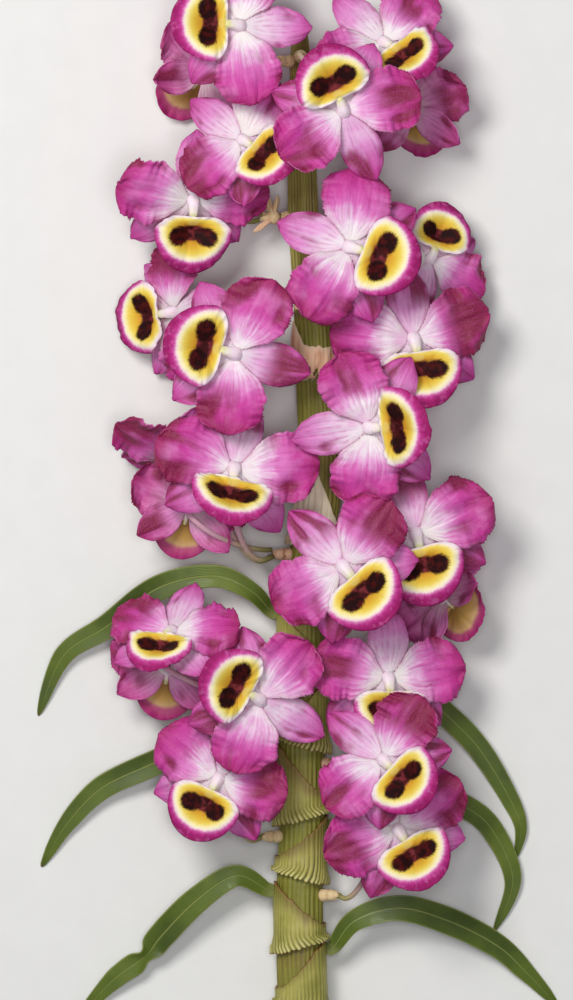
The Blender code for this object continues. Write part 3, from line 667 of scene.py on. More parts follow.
# %% [markdown]
# ## Skins
# Most of the plant is thin sheet or round tube. One helper collects such skins into
# a piece: points, faces, the numbers that the finishes read, and which finish each face
# has. A sheet gets its thickness by moving a copy along the normals both ways and
# closing the rim, so that every petal and leaf is a closed body of real thickness.

# %% A piece and its skins
NUMBERS = ("reach", "side", "eye", "across", "along")


class Piece:
    """Collects skins in metres, and becomes one mesh object at the end."""

    def __init__(self, name):
        self.name = name
        self.points = []
        self.faces = []
        self.slots = []
        self.numbers = {name: [] for name in NUMBERS}

    def add(self, points, faces, numbers, slots):
        """Adds points (an array), faces, numbers for the points, and a finish for each face."""
        first = sum(len(block) for block in self.points)
        self.points.append(np.asarray(points, dtype=float))
        self.faces += [tuple(first + corner for corner in face) for face in faces]
        self.slots += [slots] * len(faces) if isinstance(slots, int) else list(slots)
        for name in NUMBERS:
            values = numbers.get(name, np.zeros(len(points)))
            self.numbers[name].append(np.asarray(values, dtype=float))

    def add_sheet(self, points, faces, numbers, thickness, slots):
        """Adds a sheet with its thickness (a number or one for each point): front, back and rim."""
        normals = sheet_normals(points, faces)
        half = (np.asarray(thickness) * 0.5).reshape(-1, 1) if np.ndim(thickness) else thickness * 0.5
        count = len(points)
        both = np.concatenate([points + normals * half, points - normals * half])
        skin = list(faces) + [tuple(count + corner for corner in reversed(face)) for face in faces]
        rim = rim_faces(faces, count)
        doubled = {name: np.concatenate([values, values]) for name, values in numbers.items()}
        front, back = slots
        self.add(both, skin + rim, doubled, [front] * len(faces) + [back] * len(faces) + [front] * len(rim))

    def finish(self, materials, slot, nodes=()):
        """Makes the object, puts it on the body and gives it its finishes."""
        mesh = bpy.data.meshes.new(self.name)
        mesh.from_pydata(np.concatenate(self.points).tolist(), [], self.faces)
        for material in materials:
            mesh.materials.append(material)
        mesh.polygons.foreach_set("material_index", self.slots)
        mesh.polygons.foreach_set("use_smooth", [True] * len(self.faces))
        for name in NUMBERS:
            layer = mesh.attributes.new(name, "FLOAT", "POINT")
            layer.data.foreach_set("value", np.concatenate(self.numbers[name]))
        mesh.update()
        item = bpy.data.objects.new(self.name, mesh)
        bpy.context.scene.collection.objects.link(item)
        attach(item, "root")
        if nodes:
            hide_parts(*nodes)
        return item


def sheet_normals(points, faces):
    """The normal of a sheet at each of its points."""
    normals = np.zeros_like(points)
    corners = np.array([face if len(face) == 4 else face + face[-1:] for face in faces])
    across = points[corners[:, 2]] - points[corners[:, 0]]
    along = points[corners[:, 3]] - points[corners[:, 1]]
    for k in range(4):
        np.add.at(normals, corners[:, k], np.cross(across, along))
    length = np.linalg.norm(normals, axis=1)
    length[length == 0.0] = 1.0
    return normals / length[:, None]


def rim_faces(faces, count):
    """Faces that close the gap between a sheet and its copy along every free edge."""
    edges = set()
    for face in faces:
        for k, corner in enumerate(face):
            edges.add((corner, face[(k + 1) % len(face)]))
    return [(b, a, a + count, b + count) for a, b in sorted(edges) if (b, a) not in edges]


def grid_faces(rows, columns, around=False):
    """Quads of a grid of rows of points, open or closed around."""
    faces = []
    for row in range(rows - 1):
        for column in range(columns if around else columns - 1):
            a = row * columns + column
            b = row * columns + (column + 1) % columns
            faces.append((a, b, b + columns, a + columns))
    return faces


print("each point carries", len(NUMBERS), "numbers for the finishes")

# %% A round tube


def tube(piece, path, radii, sides, slot, squash=None):
    """Adds a closed round skin along a path of points (an array in metres)."""
    path = np.asarray(path)
    count = len(path)
    forward = np.gradient(path, axis=0)
    forward /= np.linalg.norm(forward, axis=1)[:, None]
    side = np.array(Vector(forward[0]).orthogonal().normalized())
    rings = []
    turns = np.arange(sides) * math.tau / sides
    for index in range(count):
        side = side - forward[index] * side.dot(forward[index])
        side /= np.linalg.norm(side)
        up = np.cross(forward[index], side)
        radius = radii[index] if squash is None else radii[index] * squash(turns, index / (count - 1))
        ring = path[index] + np.outer(np.cos(turns) * radius, side)
        rings.append(ring + np.outer(np.sin(turns) * radius, up))
    points = np.concatenate(rings + [path[:1], path[-1:]])
    faces = grid_faces(count, sides, True)
    last = (count - 1) * sides
    for step in range(sides):
        other = (step + 1) % sides
        faces += [(other, step, count * sides), (last + step, last + other, count * sides + 1)]
    reach = np.concatenate([np.repeat(np.linspace(0.0, 1.0, count), sides), [0.0, 1.0]])
    side_number = np.concatenate([np.tile(turns / math.tau, count), [0.0, 0.0]])
    piece.add(points, faces, {"reach": reach, "side": side_number}, slot)


# %% [markdown]
# ## Shapes that follow a rule
# A tepal, which means a petal or a sepal, and a lip follow one rule each, with other
# numbers for each bloom. Geometry Nodes suit that well: the tree states the rule once,
# and its named inputs are the numbers. The tree starts from a flat grid one unit wide
# and long, notes each point's share of the length and width, and then moves the points.

# %% Building a tree and running it


def shape_tree(name, inputs, rule, fed=False):
    """A tree with these inputs, and perhaps a mesh to start from, shaped by the rule."""
    tree = bpy.data.node_groups.new(name, "GeometryNodeTree")
    if fed:
        tree.interface.new_socket("Base", in_out="INPUT", socket_type="NodeSocketGeometry")
    for label, value in inputs.items():
        number = tree.interface.new_socket(label, in_out="INPUT", socket_type="NodeSocketFloat")
        number.default_value = value
    tree.interface.new_socket("Shape", in_out="OUTPUT", socket_type="NodeSocketGeometry")
    sketch = Sketch(tree)
    entry = tree.nodes.new("NodeGroupInput")
    given = {socket.name: Field(sketch, socket) for socket in entry.outputs if socket.name}
    result = rule(sketch, given)
    exit_node = tree.nodes.new("NodeGroupOutput")
    tree.links.new(result.socket, exit_node.inputs[0])
    return tree


def run_tree(tree, values, base=None):
    """The mesh that a tree makes from these values, as points, faces and stored numbers."""
    item = bpy.data.objects.new("growing", base or bpy.data.meshes.new("seed"))
    bpy.context.scene.collection.objects.link(item)
    grow = item.modifiers.new("Grow", "NODES")
    grow.node_group = tree
    for socket in tree.interface.items_tree:
        if socket.in_out == "INPUT" and socket.name in values:
            grow[socket.identifier] = float(values[socket.name])
    graph = bpy.context.evaluated_depsgraph_get()
    mesh = bpy.data.meshes.new_from_object(item.evaluated_get(graph))
    item.modifiers.clear()
    bpy.data.objects.remove(item)
    points = np.zeros(len(mesh.vertices) * 3)
    mesh.vertices.foreach_get("co", points)
    numbers = {}
    for name in NUMBERS:
        layer = mesh.attributes.get(name)
        if layer is not None:
            values_read = np.zeros(len(mesh.vertices))
            layer.data.foreach_get("value", values_read)
            numbers[name] = values_read
    faces = [tuple(polygon.vertices) for polygon in mesh.polygons]
    bpy.data.meshes.remove(mesh)
    return points.reshape(-1, 3), faces, numbers


def noted(sketch, geometry, name, value):
    """The geometry with one more number stored at each point."""
    return sketch.node(
        "GeometryNodeStoreNamedAttribute", {"data_type": "FLOAT", "domain": "POINT"},
        {"Geometry": geometry, "Name": name, "Value": value},
    )


def flat_grid(sketch, across, along):
    """A grid one unit wide and long, with its shares of the length and of the width."""
    grid = sketch.node("GeometryNodeMeshGrid", None, {0: 1.0, 1: 1.0, 2: across, 3: along})
    position = sketch.node("GeometryNodeInputPosition")
    x = sketch.node("ShaderNodeSeparateXYZ", None, {0: position}, 0)
    y = sketch.node("ShaderNodeSeparateXYZ", None, {0: position}, 1)
    return grid, y + 0.5, x * 2.0


def moved(sketch, geometry, x, y, z):
    """The geometry with its points set to these coordinates."""
    place = sketch.vector(x, y, z)
    return sketch.node("GeometryNodeSetPosition", None, {"Geometry": geometry, "Position": place})


def closing(sketch, geometry, material):
    """The end of every tree: real geometry with its finish."""
    real = sketch.node("GeometryNodeRealizeInstances", None, {0: geometry})
    return sketch.node("GeometryNodeSetMaterial", None, {"Geometry": real, "Material": material})


# %% [markdown]
# ### The tepal rule
# A tepal's outline is a curve of half-widths from hub to tip. Its surface rises from the
# hub, droops outwards, cups a little and ruffles towards its edge, each as one plain term
# of a sum, so that every term can be tried alone. Petals carry an uneven fine tooth at
# the edge, and soft noise folds and creases the skin.

# %% Tepal trees
TEPAL_INPUTS = {
    "Length": 34.0, "Half Width": 14.5, "Hub": 2.9, "Layer": 1.2, "Lift": 2.0, "Droop": 3.0, "Cup": 0.0,
    "Ruffle": 1.7, "Waves": 2.5, "Phase": 0.0, "Twist": 0.0, "Bend": 0.0, "Frill": 0.4, "Tooth": 0.4,
    "Seed": 0.0, "Crumple": 1.0, "Curl": 0.0, "Shade": 0.5,
}


def tepal_rule(course, across, along, material):
    """The rule of a tepal with this outline and this many points each way."""

    def rule(sketch, given):
        grid, u, s = flat_grid(sketch, across, along)
        seed = given["Seed"]
        right = s.over(0.0)
        fold = (sketch.noise(sketch.vector(s * 1.5, u * 1.0, seed), 1.0, 1.0) - 0.5) * 4.0
        edging = (sketch.noise(sketch.vector(right * 4.0, u * 5.5, seed + 3.7), 1.0, 2.0) - 0.5) * 3.0
        tips = (sketch.noise(sketch.vector(s * 2.4, 9.0, seed + 5.1), 1.0, 2.0) - 0.5) * 3.0
        nibble = sketch.noise(sketch.vector(right * 4.0, u * 14.0, seed + 8.3), 1.0, 1.0)
        grid = noted(sketch, noted(sketch, grid, "reach", u), "side", s)
        half = given["Half Width"] * sketch.node("ShaderNodeFloatCurve", {"course": course}, {"Value": u})
        half = half * (1.0 + edging * u.ramp(0.2, 0.5) * given["Frill"] * 0.22)
        edge = abs(s) ** 1.5
        wave = ((given["Waves"] * u + given["Phase"]) * math.tau + right * 2.2).sine()
        frill = ((given["Waves"] * u * 3.7 + given["Phase"] * 5.0) * math.tau + right * 1.3 + edging).sine()
        tooth = (u * (along - 1) * math.pi + math.pi / 2).sine() * (abs(s) ** 16.0) * given["Tooth"]
        x = s * (half + tooth * ((nibble - 0.42) * 5.0).most(0.0)) + given["Bend"] * u * u
        y = given["Hub"] + (given["Length"] - given["Hub"]) * (u - u * s * s * 0.05)
        y = y + tips * u.ramp(0.65, 1.0) * given["Frill"] * 0.95
        z = given["Layer"] * (u / 0.22).least(1.0) + given["Lift"] * u - given["Droop"] * u * u
        z = z + given["Cup"] * s * s * ((u * 1.1).least(1.0) * math.pi).sine()
        z = z + given["Ruffle"] * edge * u.ramp(0.15, 0.55, "LINEAR") * wave * (1.0 + edging * 0.4)
        z = z + given["Frill"] * (abs(s) ** 3.0) * u.ramp(0.2, 0.5) * frill
        z = z + given["Crumple"] * fold * u.ramp(0.12, 0.65)
        z = z + given["Curl"] * (abs(s) ** 4.0) * u.ramp(0.2, 0.8)
        crease = sketch.noise(sketch.vector(s * 5.0, u * 2.6, seed + 11.9), 1.0, 2.0) - 0.5
        z = z + crease * u.ramp(0.15, 0.5) * given["Crumple"] * 0.9
        z = z + given["Twist"].sine() * s * half * u
        z = z - (1.0 - abs(s).ramp(0.0, 0.16)) * u.ramp(0.0, 0.2) * (1.0 - u.ramp(0.6, 1.0)) * 0.35
        # the fold height and Shade are stored for the finish, which paints shade into hollows and shaded
        # tepals
        grid = noted(sketch, noted(sketch, grid, "across", fold + wave * edge * 0.4), "eye", given["Shade"])
        return closing(sketch, moved(sketch, grid, x, y, z), material)

    return rule


# Half-widths from hub to tip, as shares of the length and of the greatest half-width.
PETAL_COURSE = [
    (0.0, 0.16), (0.12, 0.42), (0.32, 0.84), (0.60, 1.0), (0.84, 0.86), (0.94, 0.64), (1.0, 0.24),
]
SEPAL_COURSE = [
    (0.0, 0.22), (0.15, 0.60), (0.38, 0.95), (0.55, 1.0), (0.78, 0.80), (0.93, 0.48), (1.0, 0.12),
]
petal_tree = shape_tree("petal", TEPAL_INPUTS, tepal_rule(PETAL_COURSE, 25, 53, petal_face))
sepal_tree = shape_tree("sepal", TEPAL_INPUTS, tepal_rule(SEPAL_COURSE, 17, 31, sepal_face))
sample = run_tree(petal_tree, {"Length": 34.0})[0]
print("a petal has", len(sample), "points and is", round(float(np.ptp(sample[:, 1])), 1), "mm long")

# %% [markdown]
# ### The lip rule
# The lip is a shallow bowl with a ruffled hem, notched behind like a kidney. Wrapping
# the flat grid round the throat turns its width into a full turn and its length into
# the way from throat to hem. The two edges that meet, and all the points at the throat,
# are then merged.

# %% Lip tree
LIP_INPUTS = {
    "Half Width": 17.0, "Front": 18.5, "Back": 8.5, "Throat": -11.0,
    "Height": 2.4, "Bowl": 4.8, "Phase": 0.0, "Frill": 0.55,
}
# The bowl's share of the way out, and how wide (in radians) and deep the notch is.
BOWL_SHARE = 0.76
NOTCH_TURN = 1.1
NOTCH_DEPTH = 0.26


def lip_rule(sketch, given):
    """The rule of a lip, with the throat at the middle and the hem all round."""
    grid, t, s = flat_grid(sketch, 91, 21)
    turn = s * math.pi + math.pi / 2
    c = (turn + math.pi / 2).sine()
    r = turn.sine()
    behind = r.over(0.0)
    reach = given["Back"] * behind + given["Front"] * (1.0 - behind)
    notch = 1.0 - (1.0 - (abs(s) * math.pi / NOTCH_TURN).ramp(0.0, 1.0)) * NOTCH_DEPTH
    rise = (t / BOWL_SHARE).least(1.0)
    rim = ((t - BOWL_SHARE) / (1.0 - BOWL_SHARE)).most(0.0)
    x = given["Half Width"] * c * t * (1.0 - r.most(0.0) * 0.10 - (0.0 - r).most(0.0) * 0.04)
    y = given["Throat"] + reach * r * t * notch
    z = given["Height"] + given["Bowl"] * rise * rise * (3.0 - rise * 2.0) * (1.0 - r.most(0.0) * 0.5)
    z = z - rim * (1.6 - behind * 1.2) + rim * 0.8 * (turn * 5.0 + given["Phase"]).sine()
    wander = sketch.noise(sketch.vector(c * 2.0, r * 2.0, given["Phase"]), 1.0, 2.0) - 0.5
    z = z + rim * given["Frill"] * (turn * 15.0 + wander * 14.0 + given["Phase"] * 3.0).sine()
    z = z + (t * 1.2).least(1.0) * wander * 3.0
    border = 0.88 - ((0.0 - r).most(0.0) ** 1.5) * 0.18 + (r.most(0.0) ** 0.7) * 0.13
    grid = noted(sketch, grid, "eye", t / border)
    grid = noted(sketch, noted(sketch, grid, "across", x), "along", y - given["Throat"])
    shaped = moved(sketch, grid, x, y, z)
    merged = sketch.node("GeometryNodeMergeByDistance", None, {"Geometry": shaped, "Distance": 0.001})
    return closing(sketch, merged, lip_face)


lip_tree = shape_tree("lip", LIP_INPUTS, lip_rule)
sample = run_tree(lip_tree, {"Phase": 1.0})[0]
print("a lip has", len(sample), "points and is", round(float(np.ptp(sample[:, 0])), 1), "mm wide")

# %% [markdown]
# ## Where each bloom sits
# Twenty-six blooms stand in clusters at the cane's nodes. One row holds a bloom's
# place, the way its lip points, how its face leans and to which side, how far its lip
# tips forward, its size, the spur that bears it, how its stalk bows, and the number of
# its random draw. The rows are the same that placed the plain model, so each fine bloom
# covers its plain one.

# %% The table of blooms
Bloom = namedtuple("Bloom", "name across along level lip lean azimuth tilt size spur bow draw")
ROWS = [
    ("01", -27.1, 203.5, 52.5, 180, 7, 91, 6, 1.00, "top_left", (-1.6, -4.7, 4.2), 195),
    ("02", -41.6, 185.9, 14.5, 234, 149, 154, 9, 0.85, "top_left", (-3.2, 1.4, 1.4), 86),
    ("03", 17.7, 166.6, 59.9, 116, 8, 39, 12, 1.00, "top", (-1.6, 7.8, -0.6), 34),
    ("04", 35.4, 197.3, 35.7, 308, 19, 69, 20, 0.95, "top_right", (1.6, -10.2, 8.7), 40),
    ("05", 46.6, 170.4, 15.8, 275, 146, 48, 0, 0.85, "high_right", (-0.5, 0.9, -0.7), 60),
    ("06", -25.5, 154.8, 44.1, 320, 9, 56, 15, 0.90, "high_left", (-6.4, -3.6, -1.6), 72),
    ("07", -47.0, 128.8, 36.8, 268, 31, 293, 14, 1.00, "high_left", (-1.2, 0.9, 0.9), 14),
    ("08", 20.5, 108.4, 53.5, 339, 9, 30, 10, 1.05, "upper_right", (8.5, -4.7, -3.9), 126),
    ("09", 55.5, 104.4, 24.3, 71, 25, 20, 0, 0.85, "upper_right", (2.3, -8.1, -0.2), 86),
    ("10", -55.9, 81.3, 20.6, 187, 43, 181, 3, 0.95, "upper_left", (-5.4, -0.2, 11.9), 19),
    ("11", -29.1, 62.8, 53.1, 165, 4, 182, 11, 1.05, "upper_left", (0.2, -5.8, -2.5), 113),
    ("12", 48.2, 69.3, 36.3, 277, 12, 335, 20, 1.05, "upper_right", (0.1, 0.4, 2.8), 186),
    ("13", 29.1, 31.0, 53.5, 8, 7, 294, 36, 1.05, "middle_right", (6.7, -1.5, -1.4), 192),
    ("14", -52.1, 18.8, 21.2, 253, 51, 261, 1, 0.95, "middle_left", (7.0, -9.7, 6.5), 90),
    ("15", -29.1, 13.4, 45.4, 258, 7, 29, 33, 1.05, "middle_left", (-1.9, -8.0, 0.8), 37),
    ("16", -48.9, -2.4, 26.8, 258, 175, 199, 6, 0.80, "middle_left", (-5.2, -5.5, 4.9), 46),
    ("17", 17.7, -28.7, 55.8, 312, 6, 277, 19, 1.05, "centre_right", (1.6, -0.8, -6.7), 187),
    ("18", 49.1, -14.9, 38.9, 284, 7, 273, 13, 1.05, "centre_right", (1.0, -9.9, 6.5), 194),
    ("19", 60.9, -41.3, 16.2, 325, 134, 349, 3, 0.80, "centre_right", (-0.2, 2.1, -1.3), 30),
    ("20", -56.2, -56.6, 38.3, 264, 43, 112, 2, 0.90, "centre_left", (5.7, -1.0, -1.1), 195),
    ("21", -58.0, -71.9, 19.2, 262, 176, 288, 0, 0.80, "centre_left", (-7.8, 0.8, -0.3), 27),
    ("22", -18.3, -85.9, 48.5, 151, 5, 3, 10, 1.00, "centre_left", (-7.2, -0.6, 7.0), 59),
    ("23", 37.3, -77.1, 36.0, 269, 12, 337, 17, 1.00, "lower_right", (6.1, -5.9, 1.5), 76),
    ("24", -35.9, -120.2, 36.7, 245, 15, 199, 13, 0.95, "lower_left", (1.3, -6.4, 8.1), 123),
    ("25", 34.9, -111.5, 54.7, 318, 5, 163, 10, 0.95, "lower_right", (2.6, -2.0, 0.2), 198),
    ("26", 41.4, -141.8, 42.2, 300, 8, 319, 26, 0.98, "low_right", (-4.9, -5.2, -0.6), 64),
]
BLOOMS = [Bloom(*row) for row in ROWS]
print("blooms:", len(BLOOMS))

# %% The numbers of one bloom
TEPALS = [("dorsal", 0.0), ("petal", 78.0), ("lateral", 130.0), ("lateral", 230.0), ("petal", 282.0)]
HALF_WIDTHS = {"petal": 14.5, "dorsal": 9.0, "lateral": 9.5}


def bloom_matrix(row):
    """From a bloom's own frame (face +Z, lip -Y) to the stem's, in millimetres."""
    lip, lean, azimuth = (math.radians(value) for value in (row.lip, row.lean, row.azimuth))
    face = Vector((math.sin(lean) * math.cos(azimuth), math.sin(lean) * math.sin(azimuth), math.cos(lean)))
    down = Vector((math.cos(lip), math.sin(lip), 0.0))
    down = (down - face * down.dot(face)).normalized()
    up = -down
    side = up.cross(face)
    turn = Matrix((side, up, face)).transposed().to_4x4()
    heart = Matrix.Translation(Vector((row.across, row.along, row.level)))
    return heart @ turn @ Matrix.Scale(row.size, 4)


def tepal_values(kind, row, index):
    """The tree's inputs for one tepal, drawn in the same order as in the plain model."""
    dice = random.Random(f"{row.name}-{row.draw}-{index}")
    petal = kind == "petal"
    return {
        "Length": (34.0 if petal else 32.0) * dice.uniform(0.96, 1.04),
        "Half Width": HALF_WIDTHS[kind],
        "Layer": 1.2 if petal else -1.2,
        "Lift": dice.uniform(1.5, 3.5) if petal else dice.uniform(-1.5, 0.0),
        "Droop": dice.uniform(2.0, 5.0) if petal else dice.uniform(2.5, 5.0),
        "Cup": dice.uniform(-0.8, 1.2) if petal else dice.uniform(-0.9, 0.3),
        "Ruffle": 1.7 if petal else 0.5,
        "Waves": dice.uniform(2.2, 3.0),
        "Phase": dice.uniform(0.0, 1.0),
        "Twist": math.radians(dice.uniform(-9.0, 9.0)),
        "Bend": dice.uniform(-1.5, 1.5),
        "Frill": 0.6 if petal else 0.2,
        "Tooth": 0.45 if petal else 0.0,
        "Seed": dice.uniform(0.0, 90.0),
        "Crumple": dice.uniform(1.4, 2.5) if petal else dice.uniform(0.6, 1.2),
        "Curl": dice.uniform(-3.2, 1.0) if petal else dice.uniform(-1.4, 0.8),
        # a random tint, which also sets how much painted shade the tepal gets
        "Shade": dice.uniform(0.0, 1.0),
    }


# How near to a limit points begin to bend, and how far inside the plain model's box they stay.
SOFT_WAY = 1.5 * MM
BOX_MARGIN = 0.5 * MM


def eased(values, limit, sign):
    """Values that bend along a limit where they would come near to crossing it."""
    gap = (limit - values) * sign
    bent = limit - sign * SOFT_WAY * np.exp(np.minimum(gap - SOFT_WAY, 0.0) / SOFT_WAY)
    return np.where(gap < SOFT_WAY, bent, values)


def in_place(points, matrix):
    """Points in a bloom's own millimetres as metres in Blender, kept inside the stem's box."""
    turn = np.array(matrix.to_3x3())
    shift = np.array(matrix.translation - MIDDLE)
    ready = (points @ turn.T + shift) * MM
    for axis in range(3):
        ready[:, axis] = eased(ready[:, axis], measured_box[1][axis] - BOX_MARGIN, 1.0)
        ready[:, axis] = eased(ready[:, axis], measured_box[0][axis] + BOX_MARGIN, -1.0)
    return ready


print("the first bloom stands at", [round(value, 3) for value in bloom_matrix(BLOOMS[0]).translation])

# %% [markdown]
# ## The cane's own numbers
# The cane is thickest in its leafy lower half and thins to its tip, and it bends a little
# at its nodes. Short spurs at the nodes bear the flower stalks.

# %% Cane tables
# Along the cane, across it, the height of its middle and its radius.
CANE_STATIONS = [
    (-236.0, 0.0, 12.05, 10.2),
    (-218.0, 0.0, 12.05, 10.2),
    (-198.5, -0.9, 12.05, 10.2),
    (-172.0, -0.9, 12.05, 10.2),
    (-145.0, 0.0, 12.05, 10.1),
    (-116.0, 0.3, 12.05, 10.0),
    (-88.0, 0.4, 12.1, 10.0),
    (-60.0, 0.0, 12.1, 9.9),
    (-43.0, 0.5, 12.1, 9.8),
    (-18.0, 5.0, 12.1, 9.8),
    (0.0, 7.3, 12.1, 9.6),
    (25.8, 7.7, 12.6, 9.4),
    (53.3, 6.4, 13.4, 8.9),
    (80.0, 5.2, 14.3, 8.4),
    (105.0, 2.4, 15.2, 7.4),
    (122.5, 0.6, 16.0, 6.8),
    (148.0, 0.0, 17.2, 6.2),
    (172.0, 0.0, 18.6, 5.4),
    (190.0, -0.6, 19.8, 4.6),
    (204.0, -0.8, 20.5, 3.2),
]
# Where the cane has its node rings, along the cane.
CANE_NODES = [-197.5, -167.5, -142.0, -111.0, -81.5, -48.0, -19.8, 25.8, 53.3, 80.0, 122.5, 158.0, 188.0]
# Each spur's place along the cane, the way it points in degrees, and its length.
SPURS = {
    "top_left": (190.0, 150.0, 9.0),
    "top": (192.0, 90.0, 9.0),
    "top_right": (187.0, 25.0, 9.0),
    "high_right": (158.0, 10.0, 9.0),
    "high_left": (122.5, 165.0, 12.0),
    "upper_right": (80.0, 20.0, 8.0),
    "upper_left": (53.3, 160.0, 8.0),
    "middle_right": (25.8, 20.0, 8.0),
    "middle_left": (-23.5, 160.0, 8.0),
    "centre_right": (-40.0, 25.0, 8.0),
    "centre_left": (-85.5, 155.0, 8.0),
    "lower_right": (-114.5, 20.0, 8.0),
    "lower_left": (-146.0, 160.0, 8.0),
    "low_right": (-171.5, 22.0, 8.0),
}


def cane_at(along):
    """Across, height and radius of the cane at this place along it."""
    for low, high in zip(CANE_STATIONS, CANE_STATIONS[1:]):
        if along <= high[0]:
            share = max(0.0, (along - low[0]) / (high[0] - low[0]))
            return tuple(low[i] + (high[i] - low[i]) * share for i in (1, 2, 3))
    return CANE_STATIONS[-1][1:]


def spur_tip(name):
    """Where a spur ends, and the way it points."""
    along, turn, length = SPURS[name]
    across, height, radius = cane_at(along)
    out = Vector((math.cos(math.radians(turn)), 0.0, math.sin(math.radians(turn))))
    return Vector((across, along, height)) + out * (radius + length), out


print("spurs:", len(SPURS))

# %% [markdown]
# ## The stalks
# Behind each bloom the ovary narrows to a stalk, which bends over to its spur.
# A smooth curve with four control points gives that bend, and a round skin follows it.

# %% The course of a stalk


def stalk_course(row, matrix, steps):
    """Points from behind a bloom's column to its spur, in millimetres."""
    tip, out = spur_tip(row.spur)
    heart = matrix @ Vector((0.0, 0.0, -4.0))
    back = (matrix.to_3x3() @ Vector((0.0, 0.0, -1.0))).normalized()
    mates = [other.name for other in BLOOMS if other.spur == row.spur]
    turn = math.tau * mates.index(row.name) / len(mates) + 0.6
    side = out.cross(Vector((0.0, 1.0, 0.0))).normalized()
    fan = side * math.cos(turn) + out.cross(side) * math.sin(turn)
    end = tip + out * 0.4 + fan * (0.0 if len(mates) == 1 else 1.9)
    reach = (heart - end).length
    bow = Vector(row.bow)
    first = heart + back * min(12.0, reach * 0.35) + bow
    second = end + (out + fan * 0.35).normalized() * reach * 0.35 + bow
    course = []
    for step in range(steps):
        t = step / (steps - 1)
        k = 1.0 - t
        course.append(heart * k ** 3 + first * 3 * k * k * t + second * 3 * k * t * t + end * t ** 3)
    return course


def add_stalk(piece, row, matrix):
    """The ovary with its three soft furrows, and the stalk."""
    steps = 22
    course = [placed(point) for point in stalk_course(row, matrix, steps)]
    waists = [1.9 * row.size, 1.5 * row.size, 1.2, 1.1]
    radii = np.interp(np.linspace(0.0, 1.0, steps), [0.0, 0.33, 0.67, 1.0], waists)

    def furrow(turns, share):
        return 1.0 + 0.07 * (1.0 - share) * np.cos(3.0 * turns)

    tube(piece, course, radii * MM, 12, 3, furrow)


# %% [markdown]
# ## The blooms
# Now the rule meets the table: two petals and three sepals each, the column, and the
# foot under the lip. The three sepals stand behind the two petals. The column is a
# short thick tube that leans over the throat and tapers to a blunt end.

# %% Blooms


def fleshed(matrix, course, radii):
    """A path and its radii, from a bloom's own millimetres to metres in Blender."""
    return in_place(np.array(course), matrix), np.array(radii) * matrix.median_scale * MM


def add_column(piece, matrix, row):
    """The column, and the foot that carries the lip."""
    heights = [-4.2, -2.0, 0.2, 1.4, 2.4, 3.2, 3.8, 4.2, 4.3]
    leans = [0.5, 0.7, 0.5, -0.5, -1.9, -3.3, -4.6, -5.5, -6.0]
    course = [(0.0, lean, height) for lean, height in zip(leans, heights)]
    radii = [1.9, 2.7, 3.0, 2.7, 2.35, 2.1, 1.95, 1.5, 0.5]
    path, sizes = fleshed(matrix, course, radii)
    tube(piece, path, sizes, 20, 2, lambda turns, share: 1.0 + 0.10 * share * np.cos(4.0 * turns))
    throat = lip_turn(row) @ Vector((0.0, -10.5, 1.4))
    course = [(0.0, -0.5, 0.4), tuple(Vector((0.0, -0.5, 0.4)).lerp(throat, 0.5)), tuple(throat)]
    path, sizes = fleshed(matrix, course, [2.2, 1.5, 1.0])
    tube(piece, path, sizes, 10, 2)


def add_hub(piece, matrix, row):
    """The pale cup where petals, sepals and column grow together."""
    sides = 28
    reaches = [0.2, 1.6, 3.0, 4.2, 5.3]
    turns = np.arange(sides) * math.tau / sides
    rings = []
    for reach in reaches:
        level = np.full(sides, 0.1 - 0.045 * reach ** 2)
        rings.append(np.stack([reach * np.cos(turns), reach * np.sin(turns), level], axis=1))
    faces = grid_faces(len(reaches), sides, True)
    numbers = {name: np.zeros(sides * len(reaches)) for name in ("reach", "side", "across")}
    numbers["eye"] = np.full(sides * len(reaches), 0.3)
    piece.add_sheet(in_place(np.concatenate(rings), matrix), faces, numbers, 0.7 * row.size * MM, (0, 4))


def lip_turn(row):
    """The forward tilt of a lip about the heart of its bloom."""
    tilt = math.radians(row.tilt)
    shift = Matrix.Translation(Vector((0.0, -5.0 * math.sin(tilt), 0.0)))
    return shift @ Matrix.Rotation(-tilt, 4, "X")


def add_bloom(row):
    """One bloom without its lip, in place of its plain solid."""
    matrix = bloom_matrix(row)
    bloom = Piece(f"fine_bloom_{row.name}")
    for index, (kind, angle) in enumerate(TEPALS):
        tree = petal_tree if kind == "petal" else sepal_tree
        points, faces, numbers = run_tree(tree, tepal_values(kind, row, index))
        spin = matrix @ Matrix.Rotation(-math.radians(angle), 4, "Z")
        thickness = (0.75 - 0.35 * np.abs(numbers["side"]) ** 3) * row.size * MM
        front = 0 if kind == "petal" else 1
        bloom.add_sheet(in_place(points, spin), faces, numbers, thickness, (front, 4))
    add_hub(bloom, matrix, row)
    add_column(bloom, matrix, row)
    add_stalk(bloom, row, matrix)
    finishes = [petal_face, sepal_face, column_skin, stalk_skin, tepal_back]
    return bloom.finish(finishes, "tepal_magenta", (f"bloom_{row.name}",))


blooms = [add_bloom(row) for row in BLOOMS]
print("faces in one bloom:", len(blooms[0].data.polygons))

# %% [markdown]
# ## The lips
# The lip hangs on the column foot in front of the column and tilts forward with
# its bloom. It is a piece of its own in another colour.

# %% Lips


